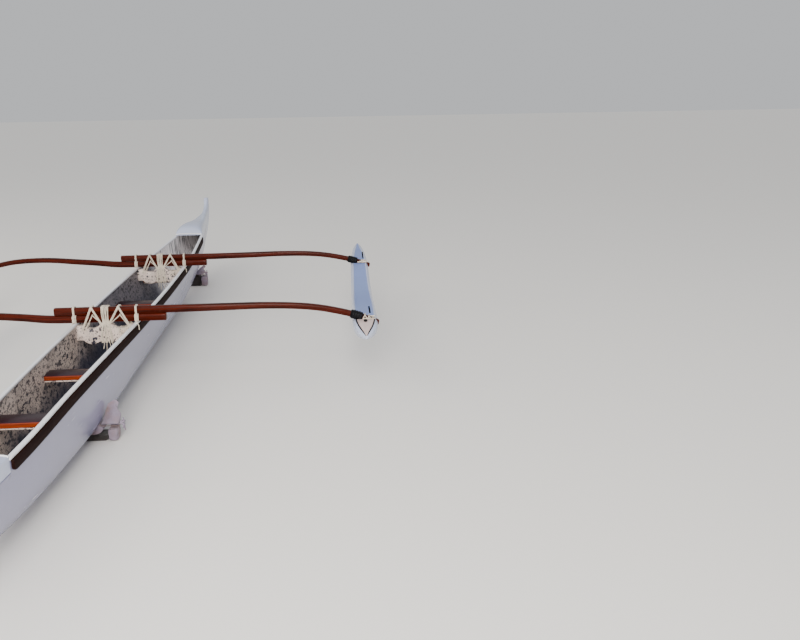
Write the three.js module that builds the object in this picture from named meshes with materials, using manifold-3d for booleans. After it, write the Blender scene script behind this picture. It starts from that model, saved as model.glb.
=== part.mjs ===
// Double-outrigger canoe standing on padded ground stands.
// Millimetres. +X to the bow, +Y to port, +Z up; heights are taken from the seat plane, where the
// lower crossbeams lie on the gunwales, and the last lines set the whole canoe on the ground.
import * as THREE from 'three';
import { mergeVertices } from 'three/addons/utils/BufferGeometryUtils.js';
import Module from 'manifold-3d';

const wasm = await Module();
wasm.setup();

// Driving dimensions
const GAP = 0.3;                    // running gap between two pieces that touch
const SEAT_PLANE = 545;             // gunwale tops above the ground
const STERN_BEAM_X = 0;             // centre of the stern pair of crossbeams
const BOW_BEAM_X = 2130;            // centre of the bow pair
const WALL = 9;                     // hull and deck laminate
const COCKPIT = { aft: -2555, fore: 3830 };
const MANU = { aft: -3900, fore: 4900 };   // where the upswept end pieces begin
const DECK_SEAM = 82;               // the decks' edge below the sheer, level with the strips' lower edge

// Hull sections: x, half beam at the sheer, sheer height, keel height, fullness of the bilge
const HULL = [
  [-4200, 28, 130, 0, 2.4],
  [-4000, 45, 95, -95, 2.4],
  [-3700, 80, 58, -200, 2.4],
  [-3300, 122, 28, -310, 2.4],
  [-2900, 153, 6, -390, 2.35],
  [-2350, 180, -2, -472, 2.35],
  [-1600, 198, 6, -498, 3.1],
  [-800, 218, 6, -502, 3.4],
  [0, 235, 0, -502, 2.8],
  [1000, 246, -3, -500, 2.4],
  [2000, 239, 0, -498, 2.4],
  [2260, 233, 0, -494, 2.4],
  [2700, 219, 7, -475, 2.4],
  [3300, 187, 18, -442, 2.4],
  [3830, 153, 30, -405, 2.4],
  [4300, 108, 45, -350, 2.4],
  [4700, 68, 68, -285, 2.4],
  [5000, 40, 98, -205, 2.4],
  [5200, 30, 128, -125, 2.4],
  [5340, 27, 165, -55, 2.4],
];
// Deck crown over the sheer: x, crown, fullness of its sides
const CROWN = [
  [-4200, 12, 2.4], [-3900, 16, 2.4], [-3300, 34, 2.4], [-2900, 32, 2.4], [-2555, 16, 2.4],
  [3829, 5, 3.4], [3845, 50, 3.4], [3880, 80, 3.4], [3930, 95, 3.4], [4100, 100, 3.4],
  [4400, 72, 3], [4650, 46, 2.6], [4900, 30, 2.4], [5340, 14, 2.4],
];

const GUNWALE = { width: 26, height: 20, overhang: 5 };
// Gunwale lengths, butted under the crossbeams: name, aft end, fore end
const GUNWALE_LENGTHS = [
  ['aft', COCKPIT.aft, STERN_BEAM_X],
  ['mid', STERN_BEAM_X, BOW_BEAM_X],
  ['fore', BOW_BEAM_X, COCKPIT.fore],
];
const STRIP = { thickness: 13, height: 62, nose: 34 };

// Seats: name, centre x, height of the plank's top
const SEATS = [
  ['seat_5', -1765, -95],
  ['seat_4', -808, -134],
  ['seat_3', 231, -145],
  ['seat_2', 1270, -155],
  ['seat_1', 2330, -150],
];
const SEAT = { width: 145, plank: 35, bearer: 12, bearerInset: 12 };

const SPREADER = { thickness: 60, arm: -20.6, post: 1.2, bottom: -135, lobe: 28, hollow: 62 };

// Crossbeams, from butt to tip: distance outboard of the hull's centreline, centre height, depth
const STARBOARD_BEAM = [
  [-378, 89, 58], [0, 89, 58], [500, 89, 57], [900, 92, 54], [1180, 94, 50], [1460, 83, 48],
  [1620, 64, 47], [1770, 33, 47], [1880, 4, 46], [1960, -22, 44], [2060, -60, 40],
];
const PORT_BEAM = [
  [-450, 30.5, 58], [0, 30.5, 58], [390, 30.5, 58], [470, 36, 57], [600, 50, 54], [800, 67, 52],
  [1090, 88, 48], [1390, 76, 47], [1550, 46, 47], [1640, 21, 46], [1710, -4, 44], [1790, -38, 40],
];
const BEAM_WIDTH = 50;
// How far each pair's outer ends stand above or below the curves above
const STATIONS = [
  { name: 'stern', x: STERN_BEAM_X, lift: -8 },
  { name: 'bow', x: BOW_BEAM_X, lift: 16 },
];
const LIFT_FROM = 500;
const LIFT_SPAN = 1450;

// Each side: sign of y, ama centre, ama's fore tip, inner end of the rubber wrap, crossbeam curve
const SIDES = [
  { name: 'starboard', sign: -1, ama: 1956, nose: 3060, wrap: 1843, beam: STARBOARD_BEAM },
  { name: 'port', sign: 1, ama: 1678, nose: 2350, wrap: 1565, beam: PORT_BEAM },
];
const WRAP = { length: 92, thickness: 13 };

// Ama sections, x from the stern crossbeams: x, deck above the joints' line, half deck, half body, depth
const AMA = [
  [-290, -60, 4, 10, 24],
  [-262, -48, 20, 36, 48],
  [-190, -24, 50, 70, 92],
  [-70, -3, 74, 92, 150],
  [60, 0, 80, 97, 188],
  [250, -8, 83, 98, 204],
  [600, -42, 84, 98, 204],
  [1000, -82, 82, 98, 200],
  [1350, -100, 78, 96, 198],
  [1750, -74, 74, 92, 204],
  [2000, -18, 70, 88, 206],
  [2150, 0, 68, 86, 200],
  [2400, 8, 58, 78, 178],
  [2700, 10, 42, 62, 138],
  [2950, 12, 20, 36, 78],
  [3060, 14, 6, 12, 32],
];
const NOSE_FROM = 2150;             // ahead of it the ama's rows are drawn in to each side's own tip
const SADDLE = 20;                  // how deep each crossbeam lies in the ama's deck
const SLOT = { from: 150, length: 320, width: 13, offset: 42, depth: 26 };
const PLUG = { x: -80, radius: 14, depth: 14 };

const LASHING = { thickness: 6, sideWidth: 26, centreWidth: 50, amaWidth: 40, amaGap: 16 };

// Ground stands: name, x, outer and inner faces of the lower pad, height where the upper pad starts,
// outer face and top of the upper pad
const STANDS = [
  { name: 'stern', x: -960, padOuter: 306, padInner: 216, split: -437, wedgeOuter: 338, wedgeTop: -256 },
  { name: 'bow', x: 3750, padOuter: 222, padInner: 126, split: -412, wedgeOuter: 212, wedgeTop: -284 },
];
const PAD = { length: 200 };
const UPPER_PAD_REACH = 60;         // how far the upper pads reach inboard of the lower ones
const BOLSTER = { length: 150, wrap: 32 };

// Materials
const finish = (color, roughness, metalness = 0) =>
  new THREE.MeshStandardMaterial({ color, roughness, metalness });
const FINISH = {
  gelcoat: () => finish(0xd9dde6, 0.25),
  edge: () => finish(0xeceef2, 0.3),
  strip: () => finish(0x2c1610, 0.45),
  varnish: () => finish(0x7c2f14, 0.3),
  speckled: () => finish(0xb9ac9c, 0.6),
  rubber: () => finish(0x101114, 0.6),
  cord: () => finish(0xe3d6c4, 0.85),
  cloth: () => finish(0xcfc3c6, 0.9),
};

// Shapes and solids
/** A smooth curve through a table's column, as a function of its first column. */
function column(table, index) {
  const xs = Float32Array.from(table, (row) => row[0]);
  const values = Float32Array.from(table, (row) => row[index]);
  const curve = new THREE.CubicInterpolant(xs, values, 1);
  return (x) => curve.evaluate(THREE.MathUtils.clamp(x, xs[0], xs[xs.length - 1]))[0];
}

/** A straight-line version of column, for outlines with corners. */
function broken(table, index) {
  const xs = Float32Array.from(table, (row) => row[0]);
  const values = Float32Array.from(table, (row) => row[index]);
  const curve = new THREE.LinearInterpolant(xs, values, 1);
  return (x) => curve.evaluate(THREE.MathUtils.clamp(x, xs[0], xs[xs.length - 1]))[0];
}

/** Closed solid through rings of equal point count, with flat ends. */
function loft(rings) {
  const count = rings[0].length;
  const points = rings.flat();
  const ends = [rings[0], rings[rings.length - 1]];
  ends.forEach((ring) => {
    const middle = new THREE.Vector3();
    ring.forEach((point) => middle.add(point));
    points.push(middle.divideScalar(count));
  });
  const faces = [];
  for (let i = 0; i < rings.length - 1; i += 1) {
    for (let j = 0; j < count; j += 1) {
      const a = i * count + j;
      const b = i * count + ((j + 1) % count);
      faces.push(a, b, b + count, a, b + count, a + count);
    }
  }
  const last = (rings.length - 1) * count;
  for (let j = 0; j < count; j += 1) {
    const next = (j + 1) % count;
    faces.push(points.length - 2, next, j, points.length - 1, last + j, last + next);
  }
  return outward(points, faces);
}

/** A geometry from points and faces, turned so that its faces point out. */
function outward(points, faces) {
  let volume = 0;
  for (let i = 0; i < faces.length; i += 3) {
    const [a, b, c] = [points[faces[i]], points[faces[i + 1]], points[faces[i + 2]]];
    volume += a.dot(new THREE.Vector3().crossVectors(b, c));
  }
  if (volume < 0) faces.reverse();
  const geometry = new THREE.BufferGeometry().setFromPoints(points);
  geometry.setIndex(faces);
  return geometry;
}

function toSolid(geometry) {
  const bare = geometry.clone();
  bare.deleteAttribute('normal');
  bare.deleteAttribute('uv');
  const merged = mergeVertices(bare, 1e-3);
  return new wasm.Manifold(new wasm.Mesh({
    numProp: 3,
    vertProperties: Float32Array.from(merged.attributes.position.array),
    triVerts: Uint32Array.from(merged.index.array),
  }));
}

function toGeometry(solid) {
  const mesh = solid.getMesh();
  const geometry = new THREE.BufferGeometry();
  const corners = new Float32Array(mesh.numVert * 3);
  for (let i = 0; i < mesh.numVert; i += 1) {
    for (let k = 0; k < 3; k += 1) corners[3 * i + k] = mesh.vertProperties[mesh.numProp * i + k];
  }
  geometry.setAttribute('position', new THREE.BufferAttribute(corners, 3));
  geometry.setIndex(Array.from(mesh.triVerts));
  return geometry;
}

/** Box between two corners. */
function box(x0, y0, z0, x1, y1, z1) {
  return new THREE.BoxGeometry(Math.abs(x1 - x0), Math.abs(y1 - y0), Math.abs(z1 - z0))
    .translate((x0 + x1) / 2, (y0 + y1) / 2, (z0 + z1) / 2);
}

/** Outline in the x-z or y-z plane, extruded to both sides of its plane. */
function slab(shape, thickness, plane, bevel = 0) {
  const geometry = new THREE.ExtrudeGeometry(shape, {
    depth: thickness - 2 * bevel,
    bevelEnabled: bevel > 0,
    bevelThickness: bevel,
    bevelSize: bevel,
    bevelOffset: -bevel,
    bevelSegments: 2,
    curveSegments: 6,
  });
  geometry.translate(0, 0, -(thickness - 2 * bevel) / 2).rotateX(Math.PI / 2);
  return plane === 'yz' ? geometry.rotateZ(Math.PI / 2) : geometry;
}

/** Outline with straight sides through the given points. */
function polygon(points) {
  return new THREE.Shape(points.map(([u, v]) => new THREE.Vector2(u, v)));
}

/** Rounded rectangle in the ring's own plane, as [u, v] offsets. */
function roundedSection(halfWidth, halfHeight, count = 16, power = 4) {
  return Array.from({ length: count }, (_, i) => {
    const angle = ((i + 0.5) / count) * 2 * Math.PI;
    const [c, s] = [Math.cos(angle), Math.sin(angle)];
    return [
      halfWidth * Math.sign(c) * Math.abs(c) ** (2 / power),
      halfHeight * Math.sign(s) * Math.abs(s) ** (2 / power),
    ];
  });
}

// Hull form
const halfBeam = column(HULL, 1);
const sheer = column(HULL, 2);
const keel = column(HULL, 3);
const bilge = column(HULL, 4);
const crown = broken(CROWN, 1);
const crownFullness = broken(CROWN, 2);

/** Closed hull section at x, shrunk by inset: round bilge below the sheer, deck crown above it. */
function hullRing(x, inset) {
  const half = halfBeam(x) - inset;
  const top = sheer(x);
  const depth = top - keel(x) - inset;
  const rise = Math.max(crown(x) - inset, 1);
  const power = bilge(x);
  const crownPower = crownFullness(x);
  const ring = [];
  for (let i = 0; i <= 14; i += 1) {
    const angle = (Math.PI * i) / 14;
    const c = Math.cos(angle);
    const y = half * Math.sign(c) * Math.abs(c) ** (2 / power);
    const z = top - depth * Math.abs(Math.sin(angle)) ** (2 / power);
    ring.push(new THREE.Vector3(x, i === 7 ? 0 : y, i % 14 === 0 ? top : z));
  }
  for (let i = 1; i < 8; i += 1) {
    const angle = Math.PI * (1 + i / 8);
    const [c, s] = [Math.cos(angle), Math.sin(angle)].map(
      (value) => Math.sign(value) * Math.abs(value) ** (2 / crownPower));
    ring.push(new THREE.Vector3(x, i === 4 ? 0 : half * c, top - rise * s));
  }
  return ring;
}

/** Stations from x0 to x1 about step apart, always with the ends, plus any extra ones between. */
function stations(x0, x1, step, extra = []) {
  const count = Math.round((x1 - x0) / step);
  const even = Array.from({ length: count + 1 }, (_, i) => x0 + ((x1 - x0) * i) / count);
  return [...even, ...extra.filter((x) => x > x0 && x < x1)]
    .sort((a, b) => a - b)
    .filter((x, i, all) => i === 0 || x - all[i - 1] > 1);
}

// Everything that follows the hull's side shares the hull's own sections.
const HULL_ENDS = [HULL[0][0], HULL[HULL.length - 1][0]];
const HULL_STATIONS = stations(...HULL_ENDS, 300, [
  ...CROWN.map((row) => row[0]), COCKPIT.aft, COCKPIT.fore, MANU.aft, MANU.fore,
  STERN_BEAM_X, BOW_BEAM_X]);
const alongHull = (x0, x1) => [x0, ...HULL_STATIONS.filter((x) => x > x0 + 1 && x < x1 - 1), x1];

/** Straight-sided block over the sheer between x0 and x1, from below to above the sheer. */
function sheerBlock(x0, x1, side, below, above) {
  return loft(alongHull(x0, x1).map((x) => [[1, below], [1, above], [-1, above], [-1, below]]
    .map(([sign, height]) => new THREE.Vector3(x, sign * (halfBeam(x) + side), sheer(x) + height))));
}

const hullBody = toSolid(loft(alongHull(...HULL_ENDS).map((x) => hullRing(x, 0))));
const hullInside = toSolid(loft(
  alongHull(MANU.aft + 40, MANU.fore - 60).map((x) => hullRing(x, WALL))));

/** Upswept blades at both ends, drawn in the x-z plane. */
function bowBlade() {
  const shape = new THREE.Shape();
  shape.moveTo(4700, -200);
  shape.lineTo(5000, -175);
  shape.lineTo(5200, -98);
  shape.lineTo(5330, -20);
  shape.quadraticCurveTo(5435, 70, 5412, 190);
  shape.lineTo(5376, 284);
  shape.lineTo(5302, 290);
  shape.quadraticCurveTo(5262, 170, 5120, 134);
  shape.lineTo(4900, 90);
  shape.lineTo(4700, 60);
  return slab(shape, 56, 'xz', 12);
}

function sternBlade() {
  const shape = new THREE.Shape();
  shape.moveTo(-3700, -120);
  shape.lineTo(-3700, 50);
  shape.lineTo(-3900, 92);
  shape.quadraticCurveTo(-4130, 150, -4210, 330);
  shape.lineTo(-4290, 336);
  shape.quadraticCurveTo(-4335, 150, -4230, 30);
  shape.lineTo(-4080, -30);
  return slab(shape, 56, 'xz', 12);
}

const shell = hullBody
  .add(toSolid(bowBlade()))
  .add(toSolid(sternBlade()))
  .subtract(hullInside)
  .subtract(toSolid(sheerBlock(COCKPIT.aft, COCKPIT.fore, -WALL, -60, 260)));

const FAR = 9000;
const bowDeckRegion = (drop) =>
  toSolid(sheerBlock(COCKPIT.fore, MANU.fore, 60, -DECK_SEAM - drop, 400));
const sternDeckRegion = (drop) =>
  toSolid(sheerBlock(MANU.aft, COCKPIT.aft, 60, -DECK_SEAM - drop, 400));

function hull() {
  return shell
    .subtract(toSolid(sheerBlock(COCKPIT.aft - 1, COCKPIT.fore + 1, 60, -GUNWALE.height - GAP, 400)))
    .subtract(bowDeckRegion(GAP))
    .subtract(sternDeckRegion(GAP))
    .subtract(toSolid(box(MANU.fore - GAP, -400, -900, FAR, 400, 900)))
    .subtract(toSolid(box(-FAR, -400, -900, MANU.aft + GAP, 400, 900)));
}

const bowDeck = () => shell.intersect(bowDeckRegion(0))
  .subtract(toSolid(box(MANU.fore - GAP, -400, -900, FAR, 400, 900)));
const sternDeck = () => shell.intersect(sternDeckRegion(0))
  .subtract(toSolid(box(-FAR, -400, -900, MANU.aft + GAP, 400, 900)));
const bowManu = () => shell.intersect(toSolid(box(MANU.fore, -400, -900, FAR, 400, 900)));
const sternManu = () => shell.intersect(toSolid(box(-FAR, -400, -900, MANU.aft, 400, 900)));

/** Long moulding beside the sheer: rings of a rounded section centred side-out and height-up. */
function moulding(sign, x0, x1, side, height, halfWidth, halfHeight) {
  return loft(alongHull(x0, x1).map((x) => roundedSection(halfWidth, halfHeight, 8)
    .map(([u, v]) => new THREE.Vector3(
      x, sign * (halfBeam(x) + side + u), sheer(x) + height + v))));
}

function gunwale(sign, x0, x1) {
  const side = GUNWALE.overhang - GUNWALE.width / 2;
  return moulding(sign, x0 + GAP, x1 - GAP, side, -GUNWALE.height / 2,
    GUNWALE.width / 2, GUNWALE.height / 2);
}

/** Wooden strip under the gunwale edge, with its lower aft corner rounded off. */
function rubStrip(sign) {
  const rows = [[0, 0.45], [12, 0.7], [STRIP.nose, 1]];
  const x0 = COCKPIT.aft + 12;
  const x1 = COCKPIT.fore - 30;
  const top = -GUNWALE.height - GAP;
  const reach = STRIP.nose + 60;
  const ends = [...rows.map(([d, share]) => [x0 + d, share]),
    ...alongHull(x0 + reach, x1 - reach).map((x) => [x, 1]),
    ...rows.map(([d, share]) => [x1 - d, share]).reverse()];
  return loft(ends.map(([x, share]) => {
    const inner = halfBeam(x) + 2 * GAP;
    const outer = inner + STRIP.thickness;
    const bottom = top - STRIP.height * share;
    return [[inner, bottom], [outer - 3, bottom], [outer, bottom + 4], [outer, top - 4],
      [outer - 3, top], [inner, top]]
      .map(([y, z]) => new THREE.Vector3(x, sign * y, sheer(x) + z));
  }));
}

// Cockpit fittings
/** The room inside the hull, a running gap clear of its wall. */
const fitting = toSolid(loft(
  alongHull(COCKPIT.aft, COCKPIT.fore).map((x) => hullRing(x, WALL + GAP))));

function seatPlank(x, top) {
  return toSolid(box(x - SEAT.width / 2, -300, top - SEAT.plank, x + SEAT.width / 2, 300, top))
    .intersect(fitting);
}

function seatBearer(x, top) {
  const half = SEAT.width / 2 - SEAT.bearerInset;
  const under = top - SEAT.plank - GAP;
  return toSolid(box(x - half, -300, under - SEAT.bearer, x + half, 300, under)).intersect(fitting);
}

/** U-shaped spreader: arms under the gunwales, hollow on both sides of the lashed middle post. */
function spreader(x) {
  const { arm, post, bottom, lobe, hollow } = SPREADER;
  const shape = new THREE.Shape();
  shape.moveTo(-260, arm);
  shape.lineTo(-175, arm);
  shape.quadraticCurveTo(-90, arm - hollow, -30, post);
  shape.lineTo(30, post);
  shape.quadraticCurveTo(90, arm - hollow, 175, arm);
  shape.lineTo(260, arm);
  shape.lineTo(260, bottom);
  shape.lineTo(180, bottom);
  shape.quadraticCurveTo(120, bottom - 2 * lobe, 60, bottom - lobe / 2);
  shape.lineTo(-60, bottom - lobe / 2);
  shape.quadraticCurveTo(-120, bottom - 2 * lobe, -180, bottom);
  shape.lineTo(-260, bottom);
  const blank = slab(shape, SPREADER.thickness, 'yz').translate(x, 0, 0);
  return toSolid(blank).intersect(fitting);
}

// Crossbeams and floats
const lifted = (station, out) =>
  station.lift * (Math.max(0, out - LIFT_FROM) / LIFT_SPAN) ** 2;

/** A crossbeam's centre height, depth and slope at a distance outboard. */
function beamAt(side, station, out) {
  const height = (u) => column(side.beam, 1)(u) + lifted(station, u);
  return {
    z: height(out),
    depth: column(side.beam, 2)(out),
    slope: (height(out + 5) - height(out - 5)) / 10,
  };
}

/** Sleeve of rounded section along a crossbeam, between two distances outboard or for its length. */
function alongBeam(side, station, extra, from = side.beam[0][0], to = side.beam.at(-1)[0], power = 4) {
  const rows = stations(side.beam[0][0], side.beam.at(-1)[0], 75, [side.wrap, side.wrap + WRAP.length]);
  return loft([from, ...rows.filter((out) => out > from + 1 && out < to - 1), to].map((out) => {
    const { z, depth, slope } = beamAt(side, station, out);
    const tilt = Math.atan(slope);
    return roundedSection(BEAM_WIDTH / 2 + extra, depth / 2 + extra, 16, power)
      .map(([u, v]) => new THREE.Vector3(
        station.x + u, side.sign * (out - v * Math.sin(tilt)), z + v * Math.cos(tilt)));
  }));
}

/** Rubber sleeve round the crossbeam where it meets the float's inboard edge. */
function sleeve(side, station, clearance) {
  return toSolid(alongBeam(side, station, WRAP.thickness + clearance,
    side.wrap - clearance, side.wrap + WRAP.length + clearance, 3));
}

const crossbeam = (side, station, clearance = 0) => toSolid(alongBeam(side, station, clearance));
const wrap = (side, station) => sleeve(side, station, 0).subtract(crossbeam(side, station, GAP));

/** Deck height of a float over a station, from the underside of the crossbeam that it carries. */
function jointDeck(side, station) {
  const { z, depth } = beamAt(side, station, side.ama);
  return z - depth / 2 + SADDLE;
}

const amaColumns = [1, 2, 3, 4].map((index) => column(AMA, index));
const noseShare = (side) => (side.nose - NOSE_FROM) / (AMA[AMA.length - 1][0] - NOSE_FROM);
/** Where a row of the table lies on a side's float, and which row a place on it has. */
const onFloat = (side, row) => (row > NOSE_FROM ? NOSE_FROM + (row - NOSE_FROM) * noseShare(side) : row);
const inTable = (side, x) => (x > NOSE_FROM ? NOSE_FROM + (x - NOSE_FROM) / noseShare(side) : x);
// Half section from deck edge to keel: share of the half body, share of the depth
const AMA_SECTION = [[0.97, 0.13], [1, 0.3], [0.95, 0.53], [0.77, 0.77], [0.43, 0.94]];

function amaDeck(side, x) {
  const [aft, fore] = STATIONS.map((station) => jointDeck(side, station));
  return aft + ((fore - aft) * (x - STERN_BEAM_X)) / (BOW_BEAM_X - STERN_BEAM_X)
    + amaColumns[0](inTable(side, x));
}

function amaRing(side, x) {
  const [, halfDeck, halfBody, depth] = amaColumns.map((value) => value(inTable(side, x)));
  const deck = amaDeck(side, x);
  const half = [[halfDeck, 0], ...AMA_SECTION.map(([u, v]) => [u * halfBody, v * depth])];
  const mirrored = half.map(([u, v]) => [-u, v]).reverse();
  return [...half, [0, depth], ...mirrored]
    .map(([u, v]) => new THREE.Vector3(x, side.sign * side.ama + u, deck - v));
}

/** Float with a saddle for each crossbeam and wrap, slots where it is long enough, and a hole for the plug. */
function ama(side) {
  const rows = AMA.map((row) => onFloat(side, row[0]));
  let body = toSolid(loft(stations(rows[0], rows[rows.length - 1], 170, rows)
    .map((x) => amaRing(side, x))));
  STATIONS.forEach((station) => {
    body = body.subtract(crossbeam(side, station, GAP)).subtract(sleeve(side, station, GAP));
    const x0 = station.x + SLOT.from;
    if (x0 + SLOT.length > side.nose) return;
    const y = side.sign * (side.ama + SLOT.offset);
    const floor = Math.min(amaDeck(side, x0), amaDeck(side, x0 + SLOT.length)) - SLOT.depth;
    body = body.subtract(toSolid(
      box(x0, y - SLOT.width / 2, floor, x0 + SLOT.length, y + SLOT.width / 2, floor + 120)));
  });
  return body.subtract(toSolid(plugCylinder(side, PLUG.radius + GAP, 60)));
}

/** Upright cylinder that stands in the float's stern deck. */
function plugCylinder(side, radius, above) {
  const floor = amaDeck(side, PLUG.x) - PLUG.depth;
  const top = amaDeck(side, PLUG.x) + above;
  return new THREE.CylinderGeometry(radius, radius, top - floor, 20)
    .rotateX(Math.PI / 2)
    .translate(PLUG.x, side.sign * side.ama, (top + floor) / 2);
}

const amaPlug = (side) => plugCylinder(side, PLUG.radius, -5)
  .translate(0, 0, GAP);

// Lashings
/** Cord band over the crossbeams: an arch in the x-z plane whose feet stand at the given height. */
function arch(x, y, width, halfInside, foot, top) {
  const t = LASHING.thickness;
  const shape = polygon([
    [x - halfInside - t, foot], [x - halfInside, foot], [x - halfInside, top],
    [x + halfInside, top], [x + halfInside, foot], [x + halfInside + t, foot],
    [x + halfInside + t, top + t - 3], [x + halfInside + t - 3, top + t],
    [x - halfInside - t + 3, top + t], [x - halfInside - t, top + t - 3],
  ]);
  return slab(shape, width, 'xz').translate(0, y, 0);
}

/** Closed cord band round both crossbeams and the spreader's middle post. */
function centreLashing(station) {
  const half = SPREADER.thickness / 2 + GAP;
  const [low, high] = [SPREADER.bottom - SPREADER.lobe / 2 - GAP, 118.5 + GAP];
  const t = LASHING.thickness;
  const outer = toSolid(box(station.x - half - t, -LASHING.centreWidth / 2, low - t,
    station.x + half + t, LASHING.centreWidth / 2, high + t));
  return outer.subtract(toSolid(box(station.x - half, -300, low, station.x + half, 300, high)));
}

function sideLashing(side, station) {
  const y = side.sign * (halfBeam(station.x) - 4);
  return arch(station.x, y, LASHING.sideWidth, BEAM_WIDTH / 2 + GAP, 2 * GAP, 118.5 + GAP);
}

/** Band that ties a crossbeam's outer end down to the float's deck. */
function amaLashing(side, station) {
  const out = side.wrap + WRAP.length + LASHING.amaGap + LASHING.amaWidth / 2;
  const highest = beamAt(side, station, out - LASHING.amaWidth / 2);
  const top = highest.z + highest.depth / 2 + 2;
  const blank = arch(station.x, side.sign * out, LASHING.amaWidth, BEAM_WIDTH / 2 + GAP,
    jointDeck(side, station) - 60, top);
  const rows = stations(station.x - 60, station.x + 60, 20);
  const deck = loft(rows.map((x) => amaRing(side, x).map((point) => point.clone().setZ(point.z + GAP))));
  return toSolid(blank).subtract(toSolid(deck)).subtract(crossbeam(side, station, GAP));
}

// Ground stands
const hullClearance = toSolid(loft(alongHull(...HULL_ENDS).map((x) => hullRing(x, -GAP))));

/** Padded block from y0 to y1 outboard, cut to the hull's side. */
function pad(stand, sign, inner, outer, low, high) {
  const half = PAD.length / 2;
  const middle = (inner + outer) / 2;
  const block = loft([[-half, 0.86], [-half + 14, 1], [half - 14, 1], [half, 0.86]]
    .map(([dx, share]) => roundedSection(((outer - inner) / 2) * share, ((high - low) / 2) * share, 16, 5)
      .map(([u, v]) => new THREE.Vector3(stand.x + dx, sign * (middle + u), (high + low) / 2 + v))));
  return toSolid(block).subtract(hullClearance);
}

const lowerPad = (stand, sign) =>
  pad(stand, sign, stand.padInner, stand.padOuter, -SEAT_PLANE, stand.split - GAP);
const upperPad = (stand, sign) =>
  pad(stand, sign, stand.padInner - UPPER_PAD_REACH, stand.wedgeOuter, stand.split, stand.wedgeTop);

/** Bolster that lies across under the keel, hollowed to the hull's bottom. */
function bolster(stand) {
  const reach = stand.padInner - GAP;
  const high = Math.min(keel(stand.x) + BOLSTER.wrap, stand.split - GAP);
  return toSolid(box(stand.x - BOLSTER.length / 2, -reach, -SEAT_PLANE,
    stand.x + BOLSTER.length / 2, reach, high)).subtract(hullClearance);
}

// Assembly
const canoe = new THREE.Group();

function place(name, shape, material) {
  const geometry = shape.isBufferGeometry ? shape : toGeometry(shape);
  const mesh = new THREE.Mesh(geometry, material);
  mesh.name = name;
  canoe.add(mesh);
}

place('hull', hull(), FINISH.gelcoat());
place('bow_deck', bowDeck(), FINISH.gelcoat());
place('stern_deck', sternDeck(), FINISH.gelcoat());
place('bow_manu', bowManu(), FINISH.gelcoat());
place('stern_manu', sternManu(), FINISH.gelcoat());

SIDES.forEach((side) => {
  GUNWALE_LENGTHS.forEach(([length, x0, x1]) => {
    place(`gunwale_${side.name}_${length}`, gunwale(side.sign, x0, x1), FINISH.edge());
  });
  place(`rub_strip_${side.name}`, rubStrip(side.sign), FINISH.strip());
});

SEATS.forEach(([name, x, top]) => {
  place(name, seatPlank(x, top), FINISH.varnish());
  place(`${name}_bearer`, seatBearer(x, top), FINISH.speckled());
});

STATIONS.forEach((station) => {
  place(`${station.name}_spreader`, spreader(station.x), FINISH.speckled());
  place(`${station.name}_lashing_centre`, centreLashing(station), FINISH.cord());
  SIDES.forEach((side) => {
    place(`${station.name}_crossbeam_${side.name}`, crossbeam(side, station), FINISH.varnish());
    place(`${station.name}_wrap_${side.name}`, wrap(side, station), FINISH.rubber());
    place(`${station.name}_lashing_${side.name}`, sideLashing(side, station), FINISH.cord());
    place(`${station.name}_ama_lashing_${side.name}`, amaLashing(side, station), FINISH.cord());
  });
});

SIDES.forEach((side) => {
  place(`ama_${side.name}`, ama(side), FINISH.gelcoat());
  place(`ama_plug_${side.name}`, amaPlug(side), FINISH.rubber());
});

STANDS.forEach((stand) => {
  place(`${stand.name}_stand_bolster`, bolster(stand), FINISH.cloth());
  SIDES.forEach((side) => {
    place(`${stand.name}_stand_pad_${side.name}`, lowerPad(stand, side.sign), FINISH.cloth());
    place(`${stand.name}_stand_wedge_${side.name}`, upperPad(stand, side.sign), FINISH.cloth());
  });
});

// The origin is the middle of the outline's base, on the ground.
canoe.updateMatrixWorld(true);
const bounds = new THREE.Box3().setFromObject(canoe, true);
canoe.position.set(-(bounds.min.x + bounds.max.x) / 2, -(bounds.min.y + bounds.max.y) / 2, -bounds.min.z);

export default canoe;
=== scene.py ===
"""Looks of a double-outrigger canoe on padded ground stands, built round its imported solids.

Sizes are in metres.  The canoe's own axes start between the stern crossbeams: x to the bow, y to
port and z up from the gunwale tops, where the lower crossbeams lie.  `Workshop` carries them to
the axes of the solids.
"""
import logging
import math
from bisect import bisect_right
from dataclasses import dataclass, field
from enum import Enum
from functools import cache, reduce
from typing import Callable, Sequence

import bmesh
import bpy
from mathutils import Matrix, Vector, noise


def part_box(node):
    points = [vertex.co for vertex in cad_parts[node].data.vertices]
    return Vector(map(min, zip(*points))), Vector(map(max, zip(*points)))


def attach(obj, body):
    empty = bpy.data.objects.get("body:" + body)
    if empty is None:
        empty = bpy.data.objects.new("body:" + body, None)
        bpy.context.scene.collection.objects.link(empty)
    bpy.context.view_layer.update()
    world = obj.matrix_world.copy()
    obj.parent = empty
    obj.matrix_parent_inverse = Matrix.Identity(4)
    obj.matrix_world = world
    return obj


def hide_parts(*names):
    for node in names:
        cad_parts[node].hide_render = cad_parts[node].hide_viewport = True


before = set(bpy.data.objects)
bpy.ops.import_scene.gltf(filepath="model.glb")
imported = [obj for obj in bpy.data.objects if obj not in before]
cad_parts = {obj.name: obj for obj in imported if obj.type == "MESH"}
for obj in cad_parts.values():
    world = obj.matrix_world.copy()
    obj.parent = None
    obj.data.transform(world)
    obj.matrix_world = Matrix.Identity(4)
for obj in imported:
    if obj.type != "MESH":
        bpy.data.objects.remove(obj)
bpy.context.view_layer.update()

log = logging.getLogger("canoe")

TAU = 2 * math.pi
HAIR = 0.0003  # gap between pieces that meet
SHARP = 38.0  # degrees from which an edge stays crisp
GUNWALE_TOP = 0.545  # over the ground
SEAT_4_FACE = 0.8805  # from the aft face of seat 4 to the stern crossbeams' middle

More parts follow.
